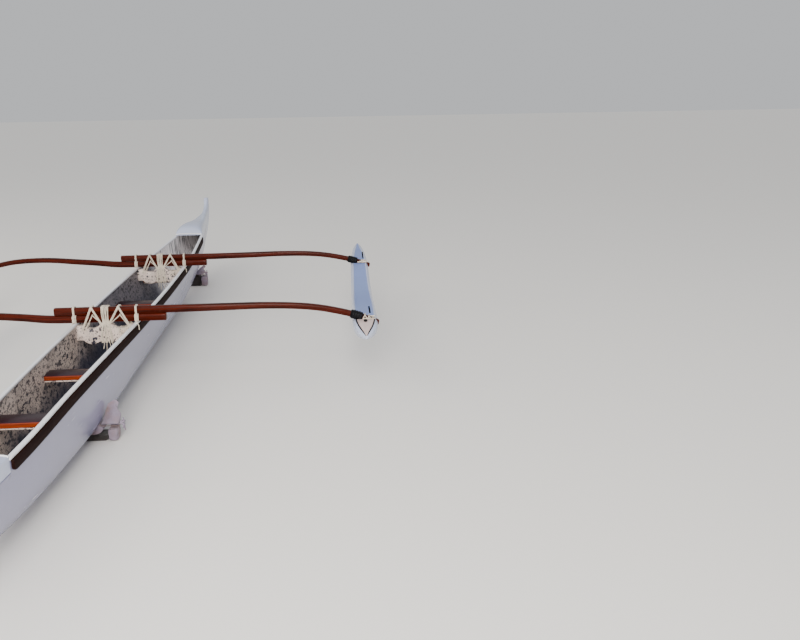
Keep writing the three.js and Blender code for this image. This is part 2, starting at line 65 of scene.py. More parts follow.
Colour = tuple[float, float, float, float]
Ring = list[Vector]
Rows = tuple[tuple[float, ...], ...]
Line = Sequence[tuple[float, float]]
Material = bpy.types.Material
Thing = bpy.types.Object
Tree = bpy.types.NodeTree
Node = bpy.types.Node
Signal = bpy.types.NodeSocket

BLACK: Colour = (0.0, 0.0, 0.0, 1.0)


def xyz(x: float, y: float, z: float) -> Vector:
    """A point."""
    return Vector((x, y, z))


def paint(code: int) -> Colour:
    """A linear colour from a screen colour.

    Args:
        code: The colour as 0xRRGGBB.

    Returns:
        Linear red, green, blue and an alpha of 1.
    """
    parts = [((code >> shift) & 255) / 255 for shift in (16, 8, 0)]
    linear = [p / 12.92 if p <= 0.04045 else ((p + 0.055) / 1.055) ** 2.4 for p in parts]
    return (linear[0], linear[1], linear[2], 1.0)


def shaded(colour: Colour, share: float, blue: float | None = None) -> Colour:
    """A colour darkened to a share of its light, and its blue to another if that is given."""
    return (colour[0] * share, colour[1] * share, colour[2] * (blue or share), 1.0)


# Lines and sections


class Fairing:
    """A faired curve through one column of a table, as a function of the table's first column."""

    def __init__(self, rows: Rows, column: int = 1) -> None:
        """Keeps a column of a table that rises by its first column."""
        self.at = [row[0] for row in rows]
        self.values = [row[column] for row in rows]

    def __call__(self, place: float) -> float:
        """The curve's value.

        Args:
            place: Where to read it; outside the table it keeps the end's value.

        Returns:
            The value there.
        """
        at, values = self.at, self.values
        place = min(max(place, at[0]), at[-1])
        i = min(max(bisect_right(at, place), 1), len(at) - 1)
        t0, t1 = at[i - 1], at[i]
        before = i - 2 if i > 1 else i
        after = i + 1 if i + 1 < len(at) else i - 1
        half = (t1 - t0) / 2
        pull_before = half / (t0 - at[before])
        pull_after = half / (at[after] - t1)
        p = (place - t0) / (t1 - t0)
        return (
            values[before] * pull_before * (-p**3 + 2 * p**2 - p)
            + values[i - 1] * ((1 + pull_before) * p**3 - (1.5 + 2 * pull_before) * p**2
                               + (pull_before - 0.5) * p + 1)
            + values[i] * (-(1 + pull_after) * p**3 + (1.5 + pull_after) * p**2 + 0.5 * p)
            + values[after] * pull_after * (p**3 - p**2)
        )


def spaced(start: float, end: float, step: float, extra: Sequence[float] = ()) -> list[float]:
    """Even places from start to end, always with both ends and any extra ones between.

    Args:
        start: First place.
        end: Last place.
        step: Rough distance between places.
        extra: Places to add where they fall between the ends.

    Returns:
        The places in rising order.
    """
    count = max(1, round((end - start) / step))
    even = [start + (end - start) * i / count for i in range(count + 1)]
    every = sorted(even + [x for x in extra if start < x < end])
    return [x for i, x in enumerate(every) if i == 0 or x - every[i - 1] > 1e-5]


def power_point(angle: float, power: float) -> tuple[float, float]:
    """A point of a unit superellipse, where a power of 2 is a circle and more is squarer."""
    c, s = math.cos(angle), math.sin(angle)
    return (math.copysign(abs(c) ** (2 / power), c), math.copysign(abs(s) ** (2 / power), s))


def lap(sides: int, power: float = 2.0, shift: float = 0.0) -> Line:
    """Points all round a unit superellipse, from a shift that counts in points."""
    return [power_point(TAU * (j + shift) / sides, power) for j in range(sides)]


def arc(start: float, span: float, steps: int, power: float) -> Line:
    """Points of a unit superellipse over a span of angle, both its ends among them."""
    return [power_point(start + span * i / steps, power) for i in range(steps + 1)]


def bent(t: float, start: float, pull: float, end: float) -> float:
    """A value on a curve from start to end that leans towards pull, at a share of its way."""
    return (1 - t) ** 2 * start + 2 * (1 - t) * t * pull + t**2 * end


def mirrored(x: float, points: Sequence[Vector]) -> Ring:
    """Points in reverse order, on the other side of an upright plane at x."""
    return [xyz(2 * x - p.x, p.y, p.z) for p in reversed(points)]


def flowing(points: Sequence[Vector], steps: int, closed: bool = False) -> list[Vector]:
    """A smooth path through points.

    Args:
        points: The points that it passes through.
        steps: Path points for each stretch between two of them.
        closed: Whether it returns to its start.

    Returns:
        The path's points.
    """
    count = len(points)
    path: list[Vector] = []
    for i in range(count if closed else count - 1):
        if closed:
            a, b, c, d = (points[(i + k - 1) % count] for k in range(4))
        else:
            a, b, c, d = (points[min(max(i + k - 1, 0), count - 1)] for k in range(4))
        for j in range(steps):
            t = j / steps
            path.append(0.5 * (2 * b + (c - a) * t + (2 * a - 5 * b + 4 * c - d) * t**2
                               + (3 * b - a - 3 * c + d) * t**3))
    if not closed:
        path.append(points[-1].copy())
    return path


@dataclass
class Form:
    """Points, faces, each face's tint (its place in the piece's list of finishes) and corners' uv."""

    points: list[Vector] = field(default_factory=list)
    faces: list[tuple[int, ...]] = field(default_factory=list)
    tints: list[int] = field(default_factory=list)
    corners: list[list[tuple[float, float]]] = field(default_factory=list)

    def face(self, indices: Sequence[int], tint: int = 0,
             corners: Sequence[tuple[float, float]] | None = None) -> None:
        """Adds a face.

        Args:
            indices: Its points.
            tint: Its finish's place in the list.
            corners: A uv for each of its points.
        """
        self.faces.append(tuple(indices))
        self.tints.append(tint)
        self.corners.append(list(corners) if corners else [(0.0, 0.0)] * len(indices))

    def join(self, other: "Form") -> "Form":
        """Adds another form's points and faces.

        Args:
            other: The form to add.

        Returns:
            This form.
        """
        start = len(self.points)
        self.points += other.points
        self.faces += [tuple(i + start for i in face) for face in other.faces]
        self.tints += other.tints
        self.corners += other.corners
        return self


def loft(rings: Sequence[Ring], along: Sequence[float] | None = None,
         across: Sequence[float] | None = None, closed: bool = False) -> Form:
    """A skin through closed rings of equal point count, its ends capped unless they meet.

    Args:
        rings: The rings, in order.
        along: Each ring's u, in metres, with one more where the skin is closed.
        across: Each ring point's v, in metres, with one more for the closing point.
        closed: Whether the last ring joins the first.

    Returns:
        The form.
    """
    count, turns = len(rings[0]), len(rings)
    along = along or [0.0] * turns
    across = across or [0.0] * (count + 1)
    form = Form([point for ring in rings for point in ring])
    for i in range(turns if closed else turns - 1):
        near, far = i * count, (i + 1) % turns * count
        for j in range(count):
            k = (j + 1) % count
            form.face((near + j, near + k, far + k, far + j), 0,
                      ((along[i], across[j]), (along[i], across[j + 1]),
                       (along[i + 1], across[j + 1]), (along[i + 1], across[j])))
    if not closed:
        for i in (0, turns - 1):
            start = i * count
            form.face(range(start, start + count), 0, [(along[i], across[j]) for j in range(count)])
    return form


def tube(path: Sequence[Vector], radius: float, sides: int = 8, closed: bool = False) -> Form:
    """A round cord along a path, with u along it and v round it, in cord diameters.

    Args:
        path: The cord's middle line.
        radius: Half its thickness.
        sides: Points round it.
        closed: Whether it returns to its start.

    Returns:
        The form.
    """
    count, circle = len(path), lap(sides)
    rings: list[Ring] = []
    along: list[float] = []
    length = 0.0
    normal: Vector | None = None
    for i, point in enumerate(path):
        ahead = path[(i + 1) % count] if closed else path[min(i + 1, count - 1)]
        behind = path[i - 1] if closed or i else point
        heading = (ahead - behind).normalized()
        if normal is None:
            guide = xyz(0, 0, 1) if abs(heading.z) < 0.8 else xyz(0, 1, 0)
            normal = heading.cross(guide)
        normal = (normal - heading * normal.dot(heading)).normalized()
        side = heading.cross(normal)
        rings.append([point + radius * (c * normal + s * side) for c, s in circle])
        along.append(length / (2 * radius))
        length += (ahead - point).length
    along.append(length / (2 * radius))
    return loft(rings, along, [j / sides for j in range(sides + 1)], closed)


def placed(name: str, data: bpy.types.ID | None) -> Thing:
    """Puts an object into the scene.

    Args:
        name: Its name.
        data: Its mesh, light or camera.

    Returns:
        The object.
    """
    thing = bpy.data.objects.new(name, data)
    bpy.context.scene.collection.objects.link(thing)
    return thing


class Workshop:
    """Turns forms into pieces that ride on the canoe, in the axes of its solids."""

    def __init__(self) -> None:
        """Finds the canoe's own axes among the solids."""
        seat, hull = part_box("seat_4"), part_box("hull")
        self.datum = xyz(seat[0].x + SEAT_4_FACE, (hull[0].y + hull[1].y) / 2, GUNWALE_TOP)

    def piece(self, name: str, form: Form, finishes: Sequence[Material], slot: str,
              stands_for: Sequence[str] = (), sharp: float = SHARP) -> Thing:
        """Makes a piece.

        Args:
            name: The piece's name.
            form: Its shape, in the canoe's own axes.
            finishes: The materials that its tints count.
            slot: Not used.
            stands_for: The solids that it is shown for.
            sharp: Angle in degrees from which an edge stays crisp.

        Returns:
            The new object.
        """
        thing = self._thing(name, form, finishes)
        self._crisp(thing, sharp)
        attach(thing, "root")
        if stands_for:
            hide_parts(*stands_for)
        log.info("%s: %d faces", name, len(thing.data.polygons))
        return thing

    def carve(self, thing: Thing, cutters: Sequence[Form]) -> None:
        """Cuts closed forms out of a piece.

        Args:
            thing: The piece.
            cutters: The forms to cut, in the canoe's own axes.
        """
        every = Form()
        for cutter in cutters:
            every.join(cutter)
        tool = self._thing("cutter", every, thing.data.materials)
        cut = thing.modifiers.new("cut", "BOOLEAN")
        cut.operation, cut.solver, cut.object = "DIFFERENCE", "EXACT", tool
        graph = bpy.context.evaluated_depsgraph_get()
        mesh = bpy.data.meshes.new_from_object(thing.evaluated_get(graph))
        thing.modifiers.clear()
        thing.data = mesh
        self._crisp(thing)
        bpy.data.objects.remove(tool)

    def _crisp(self, thing: Thing, sharp: float = SHARP) -> None:
        """Shades a piece smooth apart from edges of a sharper angle, in degrees."""
        thing.data.shade_smooth()
        thing.data.set_sharp_from_angle(angle=math.radians(sharp))

    def _thing(self, name: str, form: Form, finishes: Sequence[Material]) -> Thing:
        """Makes a form into an object, its faces turned outward.

        Args:
            name: The object's name.
            form: Its shape, in the canoe's own axes.
            finishes: The materials that its tints count.

        Returns:
            The object.
        """
        mesh = bpy.data.meshes.new(name)
        mesh.from_pydata([tuple(self.datum + point) for point in form.points], [], form.faces)
        run = mesh.uv_layers.new(name="run")
        for polygon, tint, corners in zip(mesh.polygons, form.tints, form.corners):
            polygon.material_index = tint
            for loop, corner in zip(polygon.loop_indices, corners):
                run.data[loop].uv = corner
        for finish in finishes:
            mesh.materials.append(finish)
        made = bmesh.new()
        made.from_mesh(mesh)
        bmesh.ops.recalc_face_normals(made, faces=made.faces)
        made.to_mesh(mesh)
        made.free()
        return placed(name, mesh)


def block(low: Vector, high: Vector, rounding: float = 0.0, segments: int = 4) -> Form:
    """An upright block with rounded vertical edges.

    Args:
        low: Lowest corner.
        high: Highest corner.
        rounding: Radius of its four upright edges.
        segments: Points for each rounded edge, less one.

    Returns:
        The form.
    """
    outline: list[tuple[float, float]] = []
    corners = ((high.x, high.y), (low.x, high.y), (low.x, low.y), (high.x, low.y))
    for turn, (x, y) in enumerate(corners):
        cx = x - math.copysign(rounding, x - (low.x + high.x) / 2)
        cy = y - math.copysign(rounding, y - (low.y + high.y) / 2)
        for i in range(segments + 1):
            angle = (turn + i / segments) * math.pi / 2
            outline.append((cx + rounding * math.cos(angle), cy + rounding * math.sin(angle)))
    return loft([[xyz(x, y, z) for x, y in outline] for z in (low.z, high.z)])


# Shader effects


class Wiring:
    """Places and links the nodes of one shader tree."""

    def __init__(self, tree: Tree) -> None:
        """Keeps a material's or a group's tree."""
        self.tree = tree

    def add(self, kind: str, feeds: dict | None = None, **settings: object) -> Node:
        """Places a node.

        Args:
            kind: The node's type.
            feeds: What each input takes: a socket to link, or a value.
            **settings: The node's own settings.

        Returns:
            The node.
        """
        node = self.tree.nodes.new(kind)
        for name, value in settings.items():
            setattr(node, name, value)
        self.feed(node, feeds or {})
        return node

    def feed(self, node: Node, feeds: dict) -> None:
        """Links sockets to a node's inputs, or sets the inputs' values.

        Args:
            node: The node.
            feeds: What each input takes: a socket to link, or a value.
        """
        for name, value in feeds.items():
            if isinstance(value, Signal):
                self.tree.links.new(value, node.inputs[name])
            else:
                node.inputs[name].default_value = value

    def place(self) -> Signal:
        """The point on the object, in metres."""
        return self.add("ShaderNodeTexCoord").outputs["Object"]

    def run(self) -> Signal:
        """The uv that follows a piece's length."""
        return self.add("ShaderNodeUVMap", uv_map="run").outputs["UV"]

    def axes(self, point: Signal) -> tuple[Signal, ...]:
        """A point's three numbers."""
        return tuple(self.add("ShaderNodeSeparateXYZ", {0: point}).outputs)

    def stretched(self, point: Signal, scale: tuple[float, float, float]) -> Signal:
        """A point scaled along each axis."""
        return self.add("ShaderNodeMapping", {"Vector": point, "Scale": scale}).outputs["Vector"]

    def noise(self, point: Signal, scale: float, detail: float = 4.0, rough: float = 0.55) -> Signal:
        """Cloudy noise round 0.5, by its fineness, count of layers and the fine layers' strength."""
        return self.add("ShaderNodeTexNoise", {"Vector": point, "Scale": scale, "Detail": detail,
                                               "Roughness": rough}).outputs["Fac"]

    def math(self, operation: str, a: object, b: object = 0.0) -> Signal:
        """Arithmetic on one value or two."""
        return self.add("ShaderNodeMath", {0: a, 1: b}, operation=operation).outputs[0]

    def times(self, *values: object) -> Signal:
        """Several values multiplied."""
        return reduce(lambda a, b: self.math("MULTIPLY", a, b), values)

    def plus(self, *values: object) -> Signal:
        """Several values added."""
        return reduce(lambda a, b: self.math("ADD", a, b), values)

    def most(self, *values: object) -> Signal:
        """The greatest of several values."""
        return reduce(lambda a, b: self.math("MAXIMUM", a, b), values)

    def spread(self, value: object, low: float, high: float, to_low: float = 0.0,
               to_high: float = 1.0) -> Signal:
        """Eases the range from low to high onto another, held at its ends."""
        return self.add("ShaderNodeMapRange", {0: value, 1: low, 2: high, 3: to_low, 4: to_high},
                        interpolation_type="SMOOTHSTEP").outputs[0]

    def blend(self, share: object, a: object, b: object) -> Signal:
        """Two colours mixed, by the share of the second."""
        return self.add("ShaderNodeMix", {0: share, 6: a, 7: b}, data_type="RGBA").outputs[2]

    def relief(self, height: Signal, depth: float, strength: float = 1.0) -> Signal:
        """A bumped normal, where a height of 1 is the depth in metres."""
        return self.add("ShaderNodeBump", {"Height": height, "Distance": depth,
                                           "Strength": strength}).outputs["Normal"]

    def effect(self, group: Tree, **feeds: object) -> Sequence[Signal]:
        """An effect's outputs, with underscores for spaces in the names of what it takes."""
        named = {name.replace("_", " "): value for name, value in feeds.items()}
        return self.add("ShaderNodeGroup", named, node_tree=group).outputs


class Socket(Enum):
    """Kinds of socket on an effect."""

    VALUE = "NodeSocketFloat"
    COLOUR = "NodeSocketColor"


PATCHES = {"Color": Socket.COLOUR, "Mask": Socket.VALUE}


def effect_group(name: str, takes: dict[str, Socket], gives: dict[str, Socket]
                 ) -> tuple[Wiring, Sequence[Signal], Node]:
    """Starts a shader effect.

    Args:
        name: The effect's name.
        takes: Its named inputs.
        gives: Its named outputs.

    Returns:
        Its wiring, the inputs' sockets and the node that takes the outputs.
    """
    group = bpy.data.node_groups.new(name, "ShaderNodeTree")
    for way, sockets in (("INPUT", takes), ("OUTPUT", gives)):
        for label, kind in sockets.items():
            group.interface.new_socket(name=label, in_out=way, socket_type=kind.value)
    w = Wiring(group)
    return w, w.add("NodeGroupInput").outputs, w.add("NodeGroupOutput")


class Effects:
    """The shader effects that several finishes share."""

    def __init__(self) -> None:
        """Builds each effect once."""
        self.soiling = self._soiling()
        self.flecks = self._flecks()
        self.grain = self._grain()
        self.wear = self._wear()
        self.weave = self._weave()
        self.scratches = self._scratches()

    def _soiling(self) -> Tree:
        """Patchy dirt with run marks, thicker near the ground."""
        w, takes, gives = effect_group(
            "soiling",
            {"Clean": Socket.COLOUR, "Dirt": Socket.COLOUR, "Amount": Socket.VALUE,
             "Dust Height": Socket.VALUE},
            PATCHES)
        point = w.place()
        patches = w.spread(w.noise(point, 2.3, 6.0, 0.62), 0.42, 0.72)
        runs = w.spread(w.noise(w.stretched(point, (9.0, 9.0, 1.1)), 1.6, 3.0), 0.5, 0.74)
        blots = w.spread(w.noise(point, 17.0, 4.0), 0.56, 0.72)
        low = w.math("SUBTRACT", 1.0, w.math("DIVIDE", w.axes(point)[2], takes["Dust Height"]))
        dust = w.times(w.spread(low, 0.0, 1.0), w.spread(w.noise(point, 6.0), 0.3, 0.7))
        worst = w.most(w.times(patches, 0.5), w.times(runs, 0.2), w.times(blots, 0.35), dust)
        mask = w.times(worst, takes["Amount"])
        w.feed(gives, {"Mask": mask, "Color": w.blend(mask, takes["Clean"], takes["Dirt"])})
        return w.tree

    def _flecks(self) -> Tree:
        """Splattered dark flecks of several sizes over a ground colour."""
        w, takes, gives = effect_group(
            "flecks",
            {"Ground": Socket.COLOUR, "Fleck": Socket.COLOUR, "Cover": Socket.VALUE},
            PATCHES)
        point = w.place()
        sizes: list[Signal] = []
        for scale, limit in ((24.0, 0.62), (46.0, 0.62), (100.0, 0.63)):
            cloud = w.noise(w.stretched(point, (0.6, 1.0, 1.1)), scale, 2.5, 0.6)
            sizes.append(w.spread(w.plus(cloud, w.times(takes["Cover"], 0.12)), limit, limit + 0.035))
        broken = w.spread(w.noise(point, 3.1, 3.0), 0.3, 0.6, 0.7, 1.0)
        mask = w.times(w.most(*sizes), broken)
        w.feed(gives, {"Mask": mask, "Color": w.blend(mask, takes["Ground"], takes["Fleck"])})
        return w.tree

    def _grain(self) -> Tree:
        """Wood grain that follows the uv run, with dark pores and glue lines between laminates."""
        w, takes, gives = effect_group(
            "grain",
            {"Light": Socket.COLOUR, "Dark": Socket.COLOUR, "Laminate": Socket.VALUE},
            {"Color": Socket.COLOUR, "Height": Socket.VALUE})
        run = w.run()
        figure = w.noise(w.stretched(run, (2.2, 60.0, 1.0)), 1.0, 5.0, 0.6)
        streak = w.noise(w.stretched(run, (9.0, 420.0, 1.0)), 1.0, 3.0, 0.6)
        board = w.noise(w.stretched(run, (0.4, 30.0, 1.0)), 1.3, 1.0)
        pores = w.spread(w.noise(w.stretched(run, (40.0, 1500.0, 1.0)), 1.0, 2.0), 0.6, 0.72)
        layer = w.math("FRACT", w.math("DIVIDE", w.axes(run)[1], takes["Laminate"]))
        glue = w.spread(w.math("ABSOLUTE", w.math("SUBTRACT", layer, 0.5)), 0.47, 0.495)
        share = w.plus(w.times(figure, 0.75), w.times(streak, 0.45), w.times(board, 0.5))
        colour = w.blend(w.spread(share, 0.55, 1.15), takes["Light"], takes["Dark"])
        dark = w.most(w.times(pores, 0.5), w.times(glue, 0.7))
        colour = w.blend(dark, colour, w.blend(0.65, takes["Dark"], BLACK))
        w.feed(gives, {"Color": colour, "Height": w.math("SUBTRACT", streak, w.times(dark, 0.6))})
        return w.tree

    def _wear(self) -> Tree:
        """Rubbed outer edges and a scatter of chips."""
        w, takes, gives = effect_group("wear", {"Amount": Socket.VALUE}, {"Mask": Socket.VALUE})
        edge = w.spread(w.add("ShaderNodeNewGeometry").outputs["Pointiness"], 0.53, 0.62)
        point = w.place()
        broken = w.spread(w.noise(point, 30.0, 5.0, 0.65), 0.42, 0.62)
        chips = w.spread(w.noise(point, 75.0, 3.0), 0.68, 0.72)
        mask = w.most(w.times(edge, broken), w.times(chips, 0.7))
        w.feed(gives, {"Mask": w.times(mask, takes["Amount"])})
        return w.tree

    def _weave(self) -> Tree:
        """Plain weave with slubs, from the object's own axes."""
        w, takes, gives = effect_group(
            "weave", {"Threads": Socket.VALUE}, {"Height": Socket.VALUE, "Slub": Socket.VALUE})
        point = w.place()
        x, y, z = w.axes(point)
        upright, level = (w.math("SINE", w.times(way, takes["Threads"])) for way in (z, w.plus(x, y)))
        slub = w.noise(w.stretched(point, (60.0, 60.0, 600.0)), 1.0, 2.0)
        w.feed(gives, {"Height": w.plus(w.times(upright, level), slub), "Slub": slub})
        return w.tree

    def _scratches(self) -> Tree:
        """Fine scuffs that run mostly fore and aft."""
        w, takes, gives = effect_group(
            "scratches", {"Density": Socket.VALUE}, {"Mask": Socket.VALUE})
        point = w.place()
        fine = w.noise(w.stretched(point, (2.0, 160.0, 160.0)), 1.0, 2.0, 0.5)
        coarse = w.noise(w.stretched(point, (0.8, 60.0, 60.0)), 1.0, 1.0, 0.5)
        marks = w.most(w.spread(fine, 0.68, 0.74), w.spread(coarse, 0.71, 0.75))
        zone = w.spread(w.noise(point, 1.7, 2.0), 0.45, 0.65)
        w.feed(gives, {"Mask": w.times(marks, zone, takes["Density"])})
        return w.tree


@cache
def effects() -> Effects:
    """The shared effects, built when first asked for."""
    return Effects()


class Look(Wiring):
    """A material and its shader."""

    def __init__(self, name: str, **uniform: object) -> None:
        """Starts the material.

        Args:
            name: Its name.
            **uniform: Values for the shader's own sockets, with underscores for spaces.
        """
        self.material = bpy.data.materials.new(name)
        self.material.use_nodes = True
        super().__init__(self.material.node_tree)
        self.shader = self.tree.nodes["Principled BSDF"]
        for label, value in uniform.items():
            self.shader.inputs[label.replace("_", " ")].default_value = value

    def dressed(self, colour: Signal, rough: Signal, normal: Signal) -> Material:
        """The material, fed with what changes over the surface."""
        self.feed(self.shader, {"Base Color": colour, "Roughness": rough, "Normal": normal})
        return self.material


@dataclass(frozen=True)
class Finish:
    """What the canoe's finishes share."""

    name: str

    def material(self) -> Material:
        """Builds the material."""
        raise NotImplementedError


@dataclass(frozen=True)
class Gelcoat(Finish):
    """Gloss gelcoat with haze, run marks, dust low down and fine scratches."""

    name: str = "gelcoat"
    # Painted shade: the hull's white gelcoat is coloured lilac-grey, as its sides look in shade.
    colour: Colour = paint(0x8E8EAA)
    dirt: Colour = paint(0x6A6674)
    soil: float = 0.16
    dust_height: float = 0.22
    rough: float = 0.26
    coat: float = 0.35

    def material(self) -> Material:
        """Builds the material."""
        w = Look(self.name, Coat_Weight=self.coat, Coat_Roughness=0.12)
        point = w.place()
        tone = w.blend(w.spread(w.noise(point, 0.9, 3.0), 0.35, 0.7), self.colour,
                       shaded(self.colour, 0.9, blue=0.95))
        soil = w.effect(effects().soiling, Clean=tone, Dirt=self.dirt, Amount=self.soil,
                        Dust_Height=self.dust_height)
        marks = w.effect(effects().scratches, Density=0.14)["Mask"]
        rough = w.plus(self.rough, w.times(soil["Mask"], 0.15), w.times(marks, 0.25))
        return w.dressed(w.blend(marks, soil["Color"], shaded(self.colour, 0.7)), rough,
                         w.relief(w.noise(point, 40.0, 2.0), 0.0002, 0.3))


@dataclass(frozen=True)
class RubbedEdge(Finish):
    """Bright gloss moulding, chipped and rubbed where hands and cords meet it."""

    name: str = "edge_gloss"
    colour: Colour = paint(0xF0F1F5)
    dirt: Colour = paint(0xA59A90)
    under: Colour = paint(0x9B968F)

    def material(self) -> Material:
        """Builds the material."""
        w = Look(self.name, Coat_Weight=0.3, Coat_Roughness=0.15)
        soil = w.effect(effects().soiling, Clean=self.colour, Dirt=self.dirt, Amount=0.35,
                        Dust_Height=0.05)
        worn = w.effect(effects().wear, Amount=0.75)["Mask"]
        return w.dressed(w.blend(worn, soil["Color"], self.under), w.plus(0.28, w.times(worn, 0.4)),
                         w.relief(w.noise(w.place(), 60.0, 3.0), 0.0006, 0.4))


@dataclass(frozen=True)
class SpeckledLiner(Finish):
    """Cream paint splattered with dark flecks, streaky at the bow, with painted shade fore and on the
    floor.
    """

    name: str = "speckled_liner"
    ground: Colour = paint(0xE0CFC4)
    fleck: Colour = paint(0x2E2C38)
    # Painted shade: dark navy for the floor, and the blue-grey that darkens the liner towards the
    # bow.
    floor: Colour = paint(0x252B42)
    gloom: Colour = paint(0x50556A)
    pale_streak: Colour = paint(0xFBF7F8)
    dark_streak: Colour = paint(0x34353F)
    floor_top: float = GUNWALE_TOP - 0.33
    cover: float = 0.42
    shade: float = 0.75
    shade_span: tuple[float, float] = (-0.9, 0.1)
    streaks_from: float = 1.95
    streaks_fade: float = 0.6

    def material(self) -> Material:
        """Builds the material."""
        w = Look(self.name)
        point = w.place()
        x, _, z = w.axes(point)
        ground = w.blend(w.spread(w.noise(point, 5.0, 5.0), 0.35, 0.7), self.ground,
                         shaded(self.ground, 0.72))
        # Painted shade: the ground darkens towards blue-grey from aft to fore.
        ground = w.blend(w.times(w.spread(x, *self.shade_span), self.shade), ground, self.gloom)
        flecks = w.effect(effects().flecks, Ground=ground, Fleck=self.fleck, Cover=self.cover)
        # Painted shade: the floor darkens to dark navy below its ragged top line.
        ragged = w.plus(z, w.times(w.math("SUBTRACT", w.noise(point, 7.0, 5.0), 0.5), 0.22))
        low = w.spread(ragged, self.floor_top + 0.14, self.floor_top - 0.04)
        colour = w.blend(w.times(low, 0.9), flecks["Color"], self.floor)
        streaks = w.spread(w.noise(w.stretched(point, (26.0, 26.0, 2.2)), 1.6, 3.0), 0.50, 0.66)
        streaks = w.blend(streaks, self.pale_streak, self.dark_streak)
        fore = w.spread(x, self.streaks_from, self.streaks_from + self.streaks_fade)
        height = w.plus(w.noise(point, 90.0, 4.0), w.times(flecks["Mask"], 0.5))
        return w.dressed(w.blend(fore, colour, streaks),
                         w.spread(w.noise(point, 40.0), 0.3, 0.7, 0.42, 0.7),
                         w.relief(height, 0.0014, 0.6))


@dataclass(frozen=True)
class Varnish(Finish):
    """Varnished or stained wood, its grain along the piece."""

    light: Colour
    dark: Colour
    rubbed: Colour = paint(0xB99878)
    dirt: Colour = paint(0x6B5A50)
    laminate: float = 10.0
    rough: float = 0.3
    coat: float = 0.45
    gloss: float = 0.5
    worn: float = 0.12
    soil: float = 0.05

    def material(self) -> Material:
        """Builds the material."""
        w = Look(self.name, Coat_Weight=self.coat, Coat_Roughness=0.12, Specular_IOR_Level=self.gloss)
        grain = w.effect(effects().grain, Light=self.light, Dark=self.dark, Laminate=self.laminate)
        worn = w.effect(effects().wear, Amount=self.worn)["Mask"]
        colour = w.blend(worn, grain["Color"], w.blend(0.5, self.light, self.rubbed))
        soil = w.effect(effects().soiling, Clean=colour, Dirt=self.dirt, Amount=self.soil,
                        Dust_Height=0.02)
        rough = w.plus(self.rough, w.times(worn, 0.4), w.times(soil["Mask"], 0.5))
        return w.dressed(soil["Color"], rough, w.relief(grain["Height"], 0.0005, 0.5))


@dataclass(frozen=True)
class WrapRubber(Finish):
    """Matt black rubber, greyed and cracked by the sun."""

    name: str = "wrap_rubber"
    colour: Colour = paint(0x08090D)
    faded: Colour = paint(0x1D1D24)

    def material(self) -> Material:
        """Builds the material."""
        w = Look(self.name, Specular_IOR_Level=0.12)
        point = w.place()
        faded = w.spread(w.noise(point, 24.0, 5.0), 0.45, 0.75)
        share = w.most(w.times(faded, 0.4), w.effect(effects().wear, Amount=0.3)["Mask"])
        cracks = w.noise(w.stretched(point, (160.0, 700.0, 160.0)), 1.0, 4.0)
        return w.dressed(w.blend(share, self.colour, self.faded),
                         w.spread(faded, 0.0, 1.0, 0.45, 0.75), w.relief(cracks, 0.0008, 0.5))


@dataclass(frozen=True)
class LaidCord(Finish):
    """Cotton cord, three strands laid together, darker in its hollows."""

    name: str = "laid_cord"
    colour: Colour = paint(0xEBDFCB)
    hollow: Colour = paint(0x9A8670)

    def material(self) -> Material:
        """Builds the material."""
        w = Look(self.name, Sheen_Weight=0.25)
        point = w.place()
        u, v, _ = w.axes(w.run())
        lay = w.times(w.plus(w.times(v, 3.0), w.times(u, 0.9)), TAU, 0.5)
        strand = w.math("ABSOLUTE", w.math("SINE", lay))
        fuzz = w.noise(point, 900.0, 3.0)
        tone = w.blend(w.spread(w.noise(point, 12.0, 4.0), 0.4, 0.75), self.colour,
                       shaded(self.colour, 0.75))
        return w.dressed(w.blend(w.spread(strand, 0.45, 0.0), tone, self.hollow),
                         w.spread(fuzz, 0.3, 0.7, 0.75, 0.95),
                         w.relief(w.plus(strand, w.times(fuzz, 0.3)), 0.0012))


@dataclass(frozen=True)
class PadCloth(Finish):
    """Worn cotton over padding, stained and dusty near the ground."""

    name: str = "pad_cloth"
    colour: Colour = paint(0x9A90A4)
    blush: Colour = paint(0x978080)
    dirt: Colour = paint(0x65463A)

    def material(self) -> Material:
        """Builds the material."""
        w = Look(self.name, Sheen_Weight=0.2)
        weave = w.effect(effects().weave, Threads=2600.0)
        tone = w.blend(w.spread(w.noise(w.place(), 9.0, 4.0), 0.4, 0.7), self.colour, self.blush)
        soil = w.effect(effects().soiling, Clean=tone, Dirt=self.dirt, Amount=0.62, Dust_Height=0.16)
        slub = w.spread(weave["Slub"], 0.3, 0.7, 0.0, 0.18)
        return w.dressed(w.blend(slub, soil["Color"], self.dirt),
                         w.spread(weave["Slub"], 0.3, 0.7, 0.82, 0.95),
                         w.relief(weave["Height"], 0.0005, 0.6))


